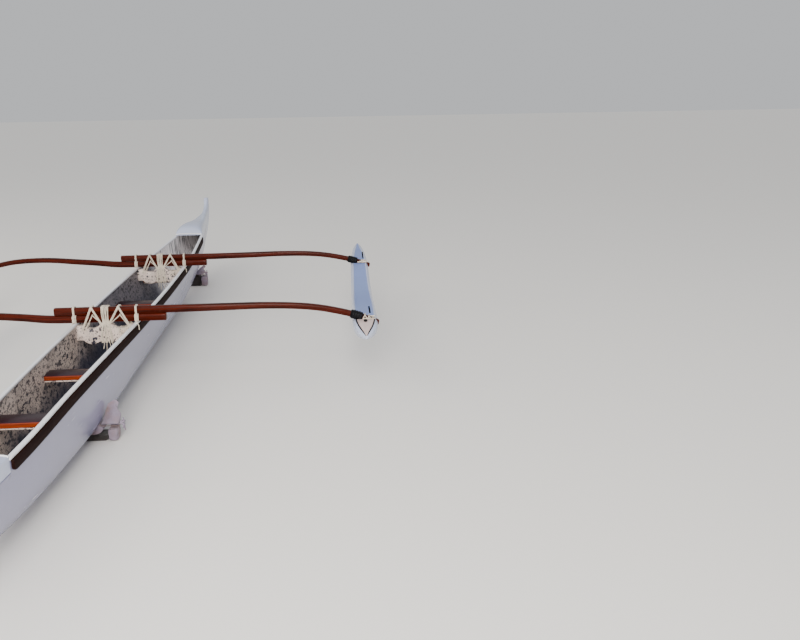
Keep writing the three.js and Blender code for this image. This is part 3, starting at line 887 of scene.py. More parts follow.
class Finishes:
    """Every material of the canoe, built once."""

    def __init__(self) -> None:
        """Builds them."""
        # Painted light and shade: the hull's gelcoat is coloured darker as in shade, and the next one
        # is the same white gelcoat coloured lighter as lit, for the decks, ends and floats.
        self.gelcoat = Gelcoat().material()
        self.bright = Gelcoat("bright_gelcoat", paint(0xBCC4DA)).material()
        # Painted reflection: the floats' decks are coloured blue, as a reflection of the sky.
        self.deck = Gelcoat("deck_gelcoat", paint(0x8093C5), dust_height=0.05, rough=0.6,
                            coat=0.05).material()
        # Painted light: the floats' nose panels are coloured warm cream, as in warm light.
        self.nose = Gelcoat("nose_gelcoat", paint(0xCDB9B4), soil=0.25, dust_height=0.05
                            ).material()
        self.edge = RubbedEdge().material()
        self.liner = SpeckledLiner().material()
        self.cream = SpeckledLiner("speckled_cream", paint(0xEAD7CB), cover=0.16, shade=0.0
                                   ).material()
        self.varnish = Varnish("beam_varnish", paint(0x5A1805), paint(0x1A0502), laminate=0.0145,
                               coat=0.04, gloss=0.08).material()
        # Painted shade: the seats' tops and undersides are coloured dark purple-brown, as shade with
        # a sky reflection.
        self.seat = Varnish("seat_varnish", paint(0x4A1A2C), paint(0x1E0814), coat=0.06, gloss=0.15
                            ).material()
        # Painted light: the seats' fore and aft faces are coloured bright orange, as lit by a low
        # sun.
        self.seat_edge = Varnish("seat_edge_varnish", paint(0xC9500F), paint(0x6A200A), coat=0.3,
                                 gloss=0.3).material()
        self.strip = Varnish("strip_stain", paint(0x38120E), paint(0x1A0605), rough=0.7, coat=0.0,
                             gloss=0.06).material()
        self.rubber = WrapRubber().material()
        self.cord = LaidCord().material()
        self.cloth = PadCloth().material()
        # Painted shade: the bolster's cloth is coloured near black, as in the shadow under the hull.
        self.bolster = PadCloth("bolster_cloth", paint(0x3C3534), paint(0x30271F), paint(0x1E1815)
                                ).material()
        # Painted shade: the tie cord is coloured dark brown, as in the shade of the cinch between the
        # pads.
        self.tie = LaidCord("tie_cord", paint(0x6E5650), paint(0x35272A)).material()


# The canoe's own lines


class Side(Enum):
    """The two sides, with the sign of y."""

    STARBOARD = -1
    PORT = 1

    @property
    def label(self) -> str:
        """The side's name in a piece's name."""
        return self.name.lower()


HULL_ROWS: Rows = (  # x, half beam at the sheer, sheer height, keel height, fullness of the bilge
    (-4.200, 0.028, 0.130, 0.000, 2.4),
    (-4.000, 0.045, 0.095, -0.095, 2.4),
    (-3.700, 0.080, 0.058, -0.200, 2.4),
    (-3.300, 0.122, 0.028, -0.310, 2.4),
    (-2.900, 0.153, 0.006, -0.390, 2.35),
    (-2.350, 0.180, -0.002, -0.472, 2.35),
    (-1.600, 0.198, 0.006, -0.498, 3.1),
    (-0.800, 0.218, 0.006, -0.502, 3.4),
    (0.000, 0.235, 0.000, -0.502, 2.8),
    (1.000, 0.246, -0.003, -0.500, 2.4),
    (2.000, 0.239, 0.000, -0.498, 2.4),
    (2.260, 0.233, 0.000, -0.494, 2.4),
    (2.700, 0.219, 0.007, -0.475, 2.4),
    (3.300, 0.187, 0.018, -0.442, 2.4),
    (3.830, 0.153, 0.030, -0.405, 2.4),
    (4.300, 0.108, 0.045, -0.350, 2.4),
    (4.700, 0.068, 0.068, -0.285, 2.4),
    (5.000, 0.040, 0.098, -0.205, 2.4),
    (5.200, 0.030, 0.128, -0.125, 2.4),
    (5.340, 0.027, 0.165, -0.055, 2.4),
)
STERN_CROWN: Rows = (  # x, crown over the sheer, fullness of its sides
    (-4.200, 0.012, 2.4), (-3.900, 0.016, 2.4), (-3.300, 0.034, 2.4), (-2.900, 0.032, 2.4),
    (-2.555, 0.016, 2.4),
)
BOW_CROWN: Rows = (
    (3.829, 0.005, 3.4), (3.845, 0.050, 3.4), (3.880, 0.080, 3.4), (3.930, 0.095, 3.4),
    (4.100, 0.100, 3.4), (4.400, 0.072, 3.0), (4.650, 0.046, 2.6), (4.900, 0.030, 2.4),
    (5.340, 0.014, 2.4),
)


@dataclass
class HullForm:
    """The hull's faired lines, which every piece on it shares."""

    wall: float = 0.009
    cockpit: tuple[float, float] = (-2.555, 3.830)
    ends: tuple[float, float] = (-3.900, 4.900)
    deck_seam: float = 0.082
    gunwale_height: float = 0.020

    def __post_init__(self) -> None:
        """Fairs the table's columns."""
        self.half_beam = Fairing(HULL_ROWS, 1)
        self.sheer = Fairing(HULL_ROWS, 2)
        self.keel = Fairing(HULL_ROWS, 3)
        self.bilge = Fairing(HULL_ROWS, 4)
        self._crowns = [[Fairing(rows, column) for column in (1, 2)]
                        for rows in (STERN_CROWN, BOW_CROWN)]

    def crown(self, x: float) -> float:
        """The deck's rise over the sheer."""
        return self._crowns[x > 0][0](x)

    def breadth(self, x: float, z: float, inset: float = 0.0) -> float:
        """Half the hull's breadth.

        Args:
            x: Place along the hull.
            z: Height.
            inset: Distance inside the outer skin.

        Returns:
            The distance of the skin from the middle plane.
        """
        depth = self.sheer(x) - self.keel(x) - inset
        share = min(max((self.sheer(x) - z) / depth, 0.0), 1.0)
        power = self.bilge(x)
        return (self.half_beam(x) - inset) * (1 - share**power) ** (1 / power)

    def under(self, x: float, inset: float, drop: float, steps: int) -> Ring:
        """The skin from the port side, under the keel, to the starboard side.

        Args:
            x: Place along the hull.
            inset: Distance inside the outer skin.
            drop: Where it starts and ends, below the sheer.
            steps: Stretches between its points.

        Returns:
            The points.
        """
        half, top = self.half_beam(x) - inset, self.sheer(x)
        depth = top - self.keel(x) - inset
        power = self.bilge(x)
        start = math.asin((drop / depth) ** (power / 2))
        return [xyz(x, half * c, top - depth * s)
                for c, s in arc(start, math.pi - 2 * start, steps, power)]

    def over(self, x: float, inset: float, steps: int) -> Ring:
        """The deck's skin from the starboard edge, over the crown, to the port edge.

        Args:
            x: Place along the hull.
            inset: Distance inside the outer skin.
            steps: Stretches between its points.

        Returns:
            The points.
        """
        half, top = self.half_beam(x) - inset, self.sheer(x)
        rise = max(self.crown(x) - inset, 0.001)
        power = self._crowns[x > 0][1](x)
        return [xyz(x, half * c, top + rise * s) for c, s in arc(math.pi, -math.pi, steps, power)]


def wall_between(outer: Sequence[Ring], inner: Sequence[Ring], tints: tuple[int, int]) -> Form:
    """A closed shell with an outer skin, an inner skin and the edges between them.

    Args:
        outer: Open lines of equal point count on the outer skin.
        inner: As many on the inner skin.
        tints: The finishes of the outer skin with its edges, and of the inner skin.

    Returns:
        The form.
    """
    count = len(outer[0])
    form = Form([p for a, b in zip(outer, inner) for p in (*a, *reversed(b))])
    for i in range(len(outer) - 1):
        for j in range(2 * count):
            k = (j + 1) % (2 * count)
            tint = tints[1] if count <= j < 2 * count - 1 else tints[0]
            form.face((2 * count * i + j, 2 * count * i + k,
                       2 * count * (i + 1) + k, 2 * count * (i + 1) + j), tint)
    for start in (0, 2 * count * (len(outer) - 1)):
        for j in range(count - 1):
            form.face((start + j, start + j + 1,
                       start + 2 * count - 2 - j, start + 2 * count - 1 - j), tints[0])
    return form


@dataclass
class Assembly:
    """A part of the canoe, with what it is made with, its materials and the hull's lines."""

    shop: Workshop
    use: Finishes
    form: HullForm

    @property
    def piece(self) -> Callable[..., Thing]:
        """Makes a piece in the shop."""
        return self.shop.piece

    def build(self) -> None:
        """Builds and dresses the pieces."""
        raise NotImplementedError


BOW_POST = (  # keel line, deck line, and share of the way, half width, widest place, power
    ((5.060, -0.186), (5.200, -0.122), (5.318, -0.040), (5.385, 0.050), (5.412, 0.140),
     (5.402, 0.210), (5.378, 0.276)),
    ((4.985, 0.122), (5.070, 0.133), (5.155, 0.153), (5.225, 0.182), (5.270, 0.219),
     (5.292, 0.252), (5.304, 0.280)),
    ((0.14, 0.0395, 0.87, 2.5), (0.29, 0.0335, 0.80, 2.7), (0.43, 0.0300, 0.70, 3.0)))
STERN_POST = (
    ((-4.020, -0.075), (-4.130, -0.010), (-4.215, 0.055), (-4.272, 0.135), (-4.298, 0.215),
     (-4.300, 0.280), (-4.292, 0.326)),
    ((-3.960, 0.118), (-4.030, 0.138), (-4.095, 0.165), (-4.145, 0.203), (-4.180, 0.248),
     (-4.200, 0.290), (-4.212, 0.322)),
    ((0.14, 0.0440, 0.86, 2.5), (0.29, 0.0350, 0.79, 2.7), (0.43, 0.0305, 0.70, 3.0)))
POST_TIP: Rows = ((0.57, 0.0285, 0.60, 3.4), (0.72, 0.0275, 0.53, 3.8), (0.86, 0.0270, 0.5, 4.2),
                  (1.0, 0.0270, 0.5, 4.4))


@dataclass
class Hull(Assembly):
    """The hull's shell, its two decks and its two upswept ends."""

    steps: int = 44
    deck_steps: int = 28
    skirt_steps: int = 6
    post_steps: int = 7
    post_sides: int = 48
    spacing: float = 0.05
    ease: float = 0.0035
    lip_radius: float = 0.0065

    def build(self) -> None:
        """Builds and dresses the pieces."""
        self.piece("hull_shell", self._shell(), (self.use.gelcoat, self.use.liner), "gelcoat",
                   ["hull"])
        aft, fore = self.form.cockpit
        for name, start, end, lip in (("stern_deck", self.form.ends[0], aft, aft),
                                      ("bow_deck", fore, self.form.ends[1], fore)):
            self.piece(f"{name}_shell", self._deck(start, end), (self.use.bright, self.use.liner),
                       "gelcoat", [name])
            self.piece(f"{name}_lip", self._lip(lip), (self.use.edge,), "edge")
        for name, x, post in (("bow_manu", self.form.ends[1] + HAIR, BOW_POST),
                              ("stern_manu", self.form.ends[0] - HAIR, STERN_POST)):
            self.piece(f"{name}_post", self._post(x, *post), (self.use.bright,), "gelcoat", [name])

    def _shell(self) -> Form:
        """The hull below the gunwales and the decks' seams."""
        aft, fore = self.form.cockpit
        outer, inner = [], []
        for x in spaced(*self.form.ends, self.spacing, (aft - HAIR, aft, fore, fore + HAIR)):
            seam = self.form.gunwale_height if aft <= x <= fore else self.form.deck_seam
            outer.append(self._eased(self.form.under(x, 0.0, seam + HAIR, self.steps)))
            inner.append(self._plain(self.form.under(x, self.form.wall, seam + HAIR, self.steps)))
        return wall_between(outer, inner, (0, 1))

    def _eased(self, ring: Ring) -> Ring:
        """A line whose two ends lean in, to round off an edge.

        Args:
            ring: The line's points.

        Returns:
            The points.
        """
        first, last = ring[0].copy(), ring[-1].copy()
        ring[0] = first - xyz(0, 0, self.ease)
        ring[-1] = last - xyz(0, 0, self.ease)
        lean = xyz(0, math.copysign(self.ease, first.y), 0)
        return [first - lean, *ring, last + lean]

    def _plain(self, ring: Ring) -> Ring:
        """A line with its two ends doubled, to match an eased one."""
        return [ring[0] + xyz(0, 0, 1e-5), *ring, ring[-1] + xyz(0, 0, 1e-5)]

    def _deck(self, start: float, end: float) -> Form:
        """A deck with its skirts down to the seam.

        Args:
            start: Its aft end.
            end: Its fore end.

        Returns:
            The form.
        """
        near = (end - 0.02, end - 0.05) if start < 0 else (
            start + 0.004, start + 0.010, start + 0.02, start + 0.04, start + 0.06, start + 0.09)
        places = spaced(start + HAIR, end - HAIR, self.spacing, near)
        outer = [self._deck_line(x, 0.0) for x in places]
        inner = [self._deck_line(x, self.form.wall) for x in places]
        return wall_between(outer, inner, (0, 1))

    def _deck_line(self, x: float, inset: float) -> Ring:
        """The deck's section from skirt to skirt.

        Args:
            x: Place along the canoe.
            inset: Distance inside the outer skin.

        Returns:
            The points.
        """
        seam = self.form.deck_seam - HAIR
        depth = self.form.sheer(x) - self.form.keel(x) - inset
        power = self.form.bilge(x)
        low = math.asin(min((seam / depth) ** (power / 2), 1.0))
        half = self.form.half_beam(x) - inset
        side = [xyz(x, half * c, self.form.sheer(x) - depth * s)
                for c, s in arc(low, -low, self.skirt_steps, power)[:-1]]
        crown = self.form.over(x, inset, self.deck_steps)
        starboard = [xyz(x, -p.y, p.z) for p in side]
        bead = self.ease if inset == 0 else 0.0
        for line in (side, starboard):
            tuck = xyz(0, -math.copysign(bead, line[0].y), 0)
            line.insert(0, line[0] + tuck)
            line[1] = line[1] + xyz(0, 0, bead or 1e-5)
        return [*starboard, *crown, *reversed(side)]

    def _lip(self, x: float) -> Form:
        """A rolled lip along a deck's edge over the cockpit."""
        place = x + math.copysign(HAIR + 0.004, x)
        return tube(self.form.over(place, 0.002, 32)[1:-1], self.lip_radius, 10)

    def _post(self, x: float, low: Line, high: Line, rows: Rows) -> Form:
        """An upswept end through sections that turn from upright to level.

        Args:
            x: Where it meets the hull.
            low: The keel's line in the middle plane, on from the hull to the tip.
            high: The deck's line, with as many points.
            rows: Share of the way, half width, share of the section under its widest place, power.

        Returns:
            The form.
        """
        sheer, bottom, crown = self.form.sheer(x), self.form.keel(x), self.form.crown(x)
        keel, deck = (flowing([xyz(u, 0, v) for u, v in line], self.post_steps)
                      for line in (((x, bottom), *low), ((x, sheer + crown), *high)))
        start = (0.0, self.form.half_beam(x), (sheer - bottom) / (sheer - bottom + crown), 2.4)
        width, widest, power = (Fairing((start, *rows, *POST_TIP), column) for column in (1, 2, 3))
        rings = []
        for i, (a, b) in enumerate(zip(keel, deck)):
            share = i / (len(keel) - 1)
            wide = widest(share)
            ring = []
            for c, s in lap(self.post_sides, power(share)):
                point = a + (b - a) * (wide + s * (1 - wide if s > 0 else wide))
                ring.append(xyz(point.x, width(share) * c, point.z))
            rings.append(ring)
        tip = rings[-1]
        middle = sum(tip, Vector()) / len(tip)
        rise = (keel[-1] - keel[-2] + deck[-1] - deck[-2]).normalized()
        for size, lift in ((0.95, 0.004), (0.82, 0.0075), (0.6, 0.009), (0.3, 0.0095)):
            rings.append([middle + (p - middle) * size + rise * lift for p in tip])
        rings[0] = [xyz(x, p.y, p.z) for p in rings[0]]
        return loft(rings)


@dataclass
class Rails(Assembly):
    """The bright gunwale mouldings and the dark strips under them."""

    width: float = 0.026
    overhang: float = 0.005
    strip_thickness: float = 0.013
    strip_height: float = 0.062
    strip_nose: float = 0.034
    spacing: float = 0.05
    ease: float = 0.0032

    def build(self) -> None:
        """Builds and dresses the pieces."""
        for side in Side:
            self.piece(f"gunwale_{side.label}", self._gunwale(side), (self.use.edge,), "edge",
                       [f"gunwale_{side.label}_{part}" for part in ("aft", "mid", "fore")])
            self.piece(f"strip_{side.label}", self._strip(side), (self.use.strip,), "strip",
                       [f"rub_strip_{side.label}"])

    def _gunwale(self, side: Side) -> Form:
        """A moulding of rounded section, drawn in a little at both ends.

        Args:
            side: Which side.

        Returns:
            The form.
        """
        aft, fore = self.form.cockpit
        height = self.form.gunwale_height
        rings = []
        for x in spaced(aft + HAIR, fore - HAIR, self.spacing, (aft + 0.004, fore - 0.004)):
            size = 0.86 if min(x - aft, fore - x) < 0.002 else 1.0
            middle = self.form.half_beam(x) + self.overhang - self.width / 2
            rings.append([xyz(x, side.value * (middle + c * size * self.width / 2),
                              self.form.sheer(x) - height / 2 + s * size * height / 2)
                          for c, s in lap(20, 3.4, 0.5)])
        return loft(rings)

    def _strip(self, side: Side) -> Form:
        """A wooden strip, its lower corners rounded off at both ends.

        Args:
            side: Which side.

        Returns:
            The form.
        """
        aft, fore = self.form.cockpit[0] + 0.012, self.form.cockpit[1] - 0.030
        bends = (0.0015, 0.004, 0.008, 0.014, 0.022, self.strip_nose)
        rings, along = [], spaced(aft, fore, self.spacing,
                                  [aft + d for d in bends] + [fore - d for d in bends])
        for x in along:
            end = min(max(min(x - aft, fore - x), 0.0) / self.strip_nose, 1.0)
            share = 0.42 + 0.58 * math.sqrt(1 - (1 - end) ** 2)
            top = self.form.sheer(x) - self.form.gunwale_height - HAIR
            low = top - self.strip_height * share
            thick = self.strip_thickness * (0.72 if end == 0 else 1.0)
            inner_top, inner_low = (self.form.breadth(x, z) + 2 * HAIR for z in (top, low))
            shape = [(inner_low, low)]
            for start, z, way in ((inner_low, low, 1), (inner_top, top, -1)):
                corner = [(start + thick - self.ease, z), (start + thick - 0.001, z + way * 0.001),
                          (start + thick, z + way * self.ease)]
                shape += corner[::way]
            rings.append([xyz(x, side.value * y, z) for y, z in (*shape, (inner_top, top))])
        across = [0.0, 0.010, 0.012, 0.014, 0.070, 0.072, 0.074, 0.084, 0.146]
        return loft(rings, along=along, across=across)


@dataclass
class Seats(Assembly):
    """Five varnished planks and the cream bearers that carry them."""

    width: float = 0.145
    plank: float = 0.035
    bearer: float = 0.012
    bearer_inset: float = 0.012
    rows: tuple[tuple[str, float, float], ...] = (  # name, centre x, height of the plank's top
        ("seat_5", -1.765, -0.095),
        ("seat_4", -0.808, -0.134),
        ("seat_3", 0.231, -0.145),
        ("seat_2", 1.270, -0.155),
        ("seat_1", 2.330, -0.150),
    )

    def build(self) -> None:
        """Builds and dresses the pieces."""
        for name, x, top in self.rows:
            self.piece(f"{name}_plank", self._board(x, top, self.plank, self.width / 2, 0.007),
                       (self.use.seat, self.use.seat_edge), "varnish", [name])
            low = top - self.plank - HAIR
            half = self.width / 2 - self.bearer_inset
            self.piece(f"{name}_ledge", self._board(x, low, self.bearer, half, 0.003),
                       (self.use.cream,), "speckled", [f"{name}_bearer"])

    def _board(self, x: float, top: float, thick: float, half: float, ease: float) -> Form:
        """A board across the hull with rounded edges, its ends shaped to the hull's wall.

        Args:
            x: Its middle.
            top: Its upper face.
            thick: Its thickness.
            half: Half its width.
            ease: Radius of its long edges.

        Returns:
            The form.
        """
        shape: list[tuple[float, float]] = []
        middle = top - thick / 2
        for turn, (sx, sz) in enumerate(((1, 1), (-1, 1), (-1, -1), (1, -1))):
            cx, cz = x + sx * (half - ease), middle + sz * (thick / 2 - ease)
            for i in range(4):
                angle = (turn + i / 3) * math.pi / 2
                shape.append((cx + ease * math.cos(angle), cz + ease * math.sin(angle)))
        shares = [-1.0, -0.985, *(i / 8 for i in range(-7, 8)), 0.985, 1.0]
        rings = [[xyz(px, share * self.form.breadth(px, pz, self.form.wall + HAIR), pz)
                  for px, pz in shape] for share in shares]
        across = [0.0]
        for a, b in zip(shape, shape[1:] + shape[:1]):
            across.append(across[-1] + math.dist(a, b))
        form = loft(rings, along=[share * 0.22 for share in shares], across=across)
        # Painted light and shade: the fore and aft faces take the orange of low sun, the other faces
        # the dark of shade.
        if thick == self.plank:
            edges, count = (6, 7, 8, 14, 15, 0), len(shape)
            skin = count * (len(rings) - 1)
            form.tints = [int(i < skin and i % count in edges) for i in range(len(form.faces))]
        return form


@dataclass(frozen=True)
class Station:
    """A pair of crossbeams: its name, its place and how far its outer ends are lifted."""

    name: str
    x: float
    lift: float


STATIONS = (Station("stern", 0.0, -0.008), Station("bow", 2.130, 0.016))


@dataclass(frozen=True)
class Outrigger:
    """One side's float and its crossbeams' curve: distance outboard, centre height, depth."""

    side: Side
    ama: float
    nose: float
    wrap: float
    rows: Rows

    @property
    def middle(self) -> float:
        """The float's middle line."""
        return self.side.value * self.ama


STARBOARD = Outrigger(Side.STARBOARD, 1.956, 3.060, 1.843, (
    (-0.378, 0.089, 0.058), (0.000, 0.089, 0.058), (0.500, 0.089, 0.057), (0.900, 0.092, 0.054),
    (1.180, 0.094, 0.050), (1.460, 0.083, 0.048), (1.620, 0.064, 0.047), (1.770, 0.033, 0.047),
    (1.880, 0.004, 0.046), (1.960, -0.022, 0.044), (2.060, -0.060, 0.040)))
PORT = Outrigger(Side.PORT, 1.678, 2.350, 1.565, (
    (-0.450, 0.0305, 0.058), (0.000, 0.0305, 0.058), (0.390, 0.0305, 0.058), (0.470, 0.036, 0.057),
    (0.600, 0.050, 0.054), (0.800, 0.067, 0.052), (1.090, 0.088, 0.048), (1.390, 0.076, 0.047),
    (1.550, 0.046, 0.047), (1.640, 0.021, 0.046), (1.710, -0.004, 0.044), (1.790, -0.038, 0.040)))
OUTRIGGERS = (STARBOARD, PORT)


@dataclass
class BeamLine:
    """A crossbeam's middle line, shared by the beam, its wrap and its cords."""

    rig: Outrigger
    station: Station
    width: float = 0.050
    lift_from: float = 0.500
    lift_span: float = 1.450

    def __post_init__(self) -> None:
        """Fairs the beam's table."""
        self._height = Fairing(self.rig.rows, 1)
        self.depth = Fairing(self.rig.rows, 2)

    def height(self, out: float) -> float:
        """The centre's height at a distance outboard."""
        far = max(0.0, out - self.lift_from) / self.lift_span
        return self._height(out) + self.station.lift * far**2

    def tilt(self, out: float) -> float:
        """The beam's slope as an angle."""
        return math.atan((self.height(out + 0.005) - self.height(out - 0.005)) / 0.010)

    def ring(self, out: float, extra: float, power: float, sides: int = 24) -> Ring:
        """A section square to the beam.

        Args:
            out: Distance outboard.
            extra: How far outside the beam's skin.
            power: How square it is.
            sides: Points round it.

        Returns:
            The points.
        """
        tilt, side = self.tilt(out), self.rig.side.value
        wide, tall = self.width / 2 + extra, self.depth(out) / 2 + extra
        return [xyz(self.station.x + c * wide, side * (out - s * tall * math.sin(tilt)),
                    self.height(out) + s * tall * math.cos(tilt)) for c, s in lap(sides, power, 0.5)]

    def joint_deck(self, saddle: float = 0.020) -> float:
        """The float's deck height under this beam."""
        out = self.rig.ama
        return self.height(out) - self.depth(out) / 2 + saddle


@dataclass
class Crossbeams(Assembly):
    """Laminated crossbeams, and the rubber wound round them at the floats."""

    spacing: float = 0.03
    ease: float = 0.006
    wrap_length: float = 0.092
    wrap_thickness: float = 0.013
    wrap_turns: float = 5.0
    squareness: float = 3.6

    def build(self) -> None:
        """Builds and dresses the pieces."""
        for station in STATIONS:
            for rig in OUTRIGGERS:
                line = BeamLine(rig, station)
                label = rig.side.label
                self.piece(f"{station.name}_beam_{label}", self._beam(line), (self.use.varnish,),
                           "varnish", [f"{station.name}_crossbeam_{label}"])
                self.piece(f"{station.name}_rubber_{label}", self._wrap(line), (self.use.rubber,),
                           "rubber", [f"{station.name}_wrap_{label}"])

    def _beam(self, line: BeamLine) -> Form:
        """A beam with eased edges at both ends and its layers' heights as v.

        Args:
            line: The crossbeam's middle line.

        Returns:
            The form.
        """
        start, end = line.rig.rows[0][0], line.rig.rows[-1][0]
        rings, along = [], spaced(start, end, self.spacing,
                                  (start + 0.002, start + self.ease, end - self.ease, end - 0.002))
        for out in along:
            near = max(min(out - start, end - out), 0.0) / self.ease
            inset = -self.ease * (1 - math.sqrt(1 - (1 - near) ** 2)) if near < 1 else 0.0
            rings.append(line.ring(out, inset, self.squareness))
        across = [s * 0.029 for _, s in lap(24, self.squareness, 0.5)]
        return loft(rings, along=along, across=[*across, across[0]])

    def _wrap(self, line: BeamLine) -> Form:
        """Rubber strip wound in overlapping turns, tied off by a raised last turn.

        Args:
            line: The crossbeam's middle line.

        Returns:
            The form.
        """
        start = line.rig.wrap
        rings, sides = [], 40
        places = spaced(start, start + self.wrap_length, 0.0023)
        for out in places:
            share = (out - start) / self.wrap_length
            dome = math.sqrt(max(0.0, 1 - (2 * share - 1) ** 6))
            inner = line.ring(out, 0.0, 3.0, sides)
            outer = line.ring(out, self.wrap_thickness, 3.0, sides)
            ring = []
            for j, (a, b) in enumerate(zip(inner, outer)):
                turn = (share * self.wrap_turns + j / sides) % 1.0
                lap = 0.62 + 0.38 * turn if turn < 0.9 else 0.96 - 3.4 * (turn - 0.9)
                ring.append(a + (b - a) * (0.02 + 0.98 * dome * lap))
            rings.append(ring)
        return loft(rings)


@dataclass
class Spreaders(Assembly):
    """The hollowed spreaders that hold the hull's sides apart under the crossbeams."""

    thickness: float = 0.060
    arm: float = -0.0206
    post: float = 0.0012
    bottom: float = -0.135
    lobe: float = 0.028
    hollow: float = 0.062
    ease: float = 0.006
    bite: float = 0.002

    def top(self, y: float) -> float:
        """The upper edge's height at a distance from the middle."""
        t = 1 - (min(max(abs(y), 0.030), 0.175) - 0.030) / 0.145
        return bent(t, self.arm, self.arm - self.hollow, self.post)

    def low(self, y: float) -> float:
        """The lower edge's height at a distance from the middle."""
        t = (0.180 - min(max(abs(y), 0.060), 0.180)) / 0.120
        return bent(t, self.bottom, self.bottom - 2 * self.lobe, self.bottom - self.lobe / 2)

    def build(self) -> None:
        """Builds and dresses the pieces."""
        for station in STATIONS:
            self.piece(f"{station.name}_spreader_web", self._web(station), (self.use.cream,),
                       "speckled", [f"{station.name}_spreader"])

    def _web(self, station: Station) -> Form:
        """A web with eased edges, its ends run into the hull's wall.

        Args:
            station: The pair of crossbeams.

        Returns:
            The form.
        """
        reach = self.form.breadth(station.x, self.arm, self.form.wall) + self.bite
        profile = [(-1.0, 1.0), (-0.9, 0.35), (-0.65, 0.0), (0.65, 0.0), (0.9, 0.35), (1.0, 1.0)]
        rings = []
        for y in (reach * i / 48 for i in range(-48, 49)):
            ring = [(share, self.top(y) - drop * self.ease) for share, drop in profile]
            ring += [(share, self.low(y) + drop * self.ease) for share, drop in reversed(profile)]
            points = []
            for share, z in ring:
                wall = self.form.breadth(station.x, z, self.form.wall) + self.bite
                points.append(xyz(station.x + share * self.thickness / 2,
                                  math.copysign(min(abs(y), wall), y), z))
            rings.append(points)
        return loft(rings)


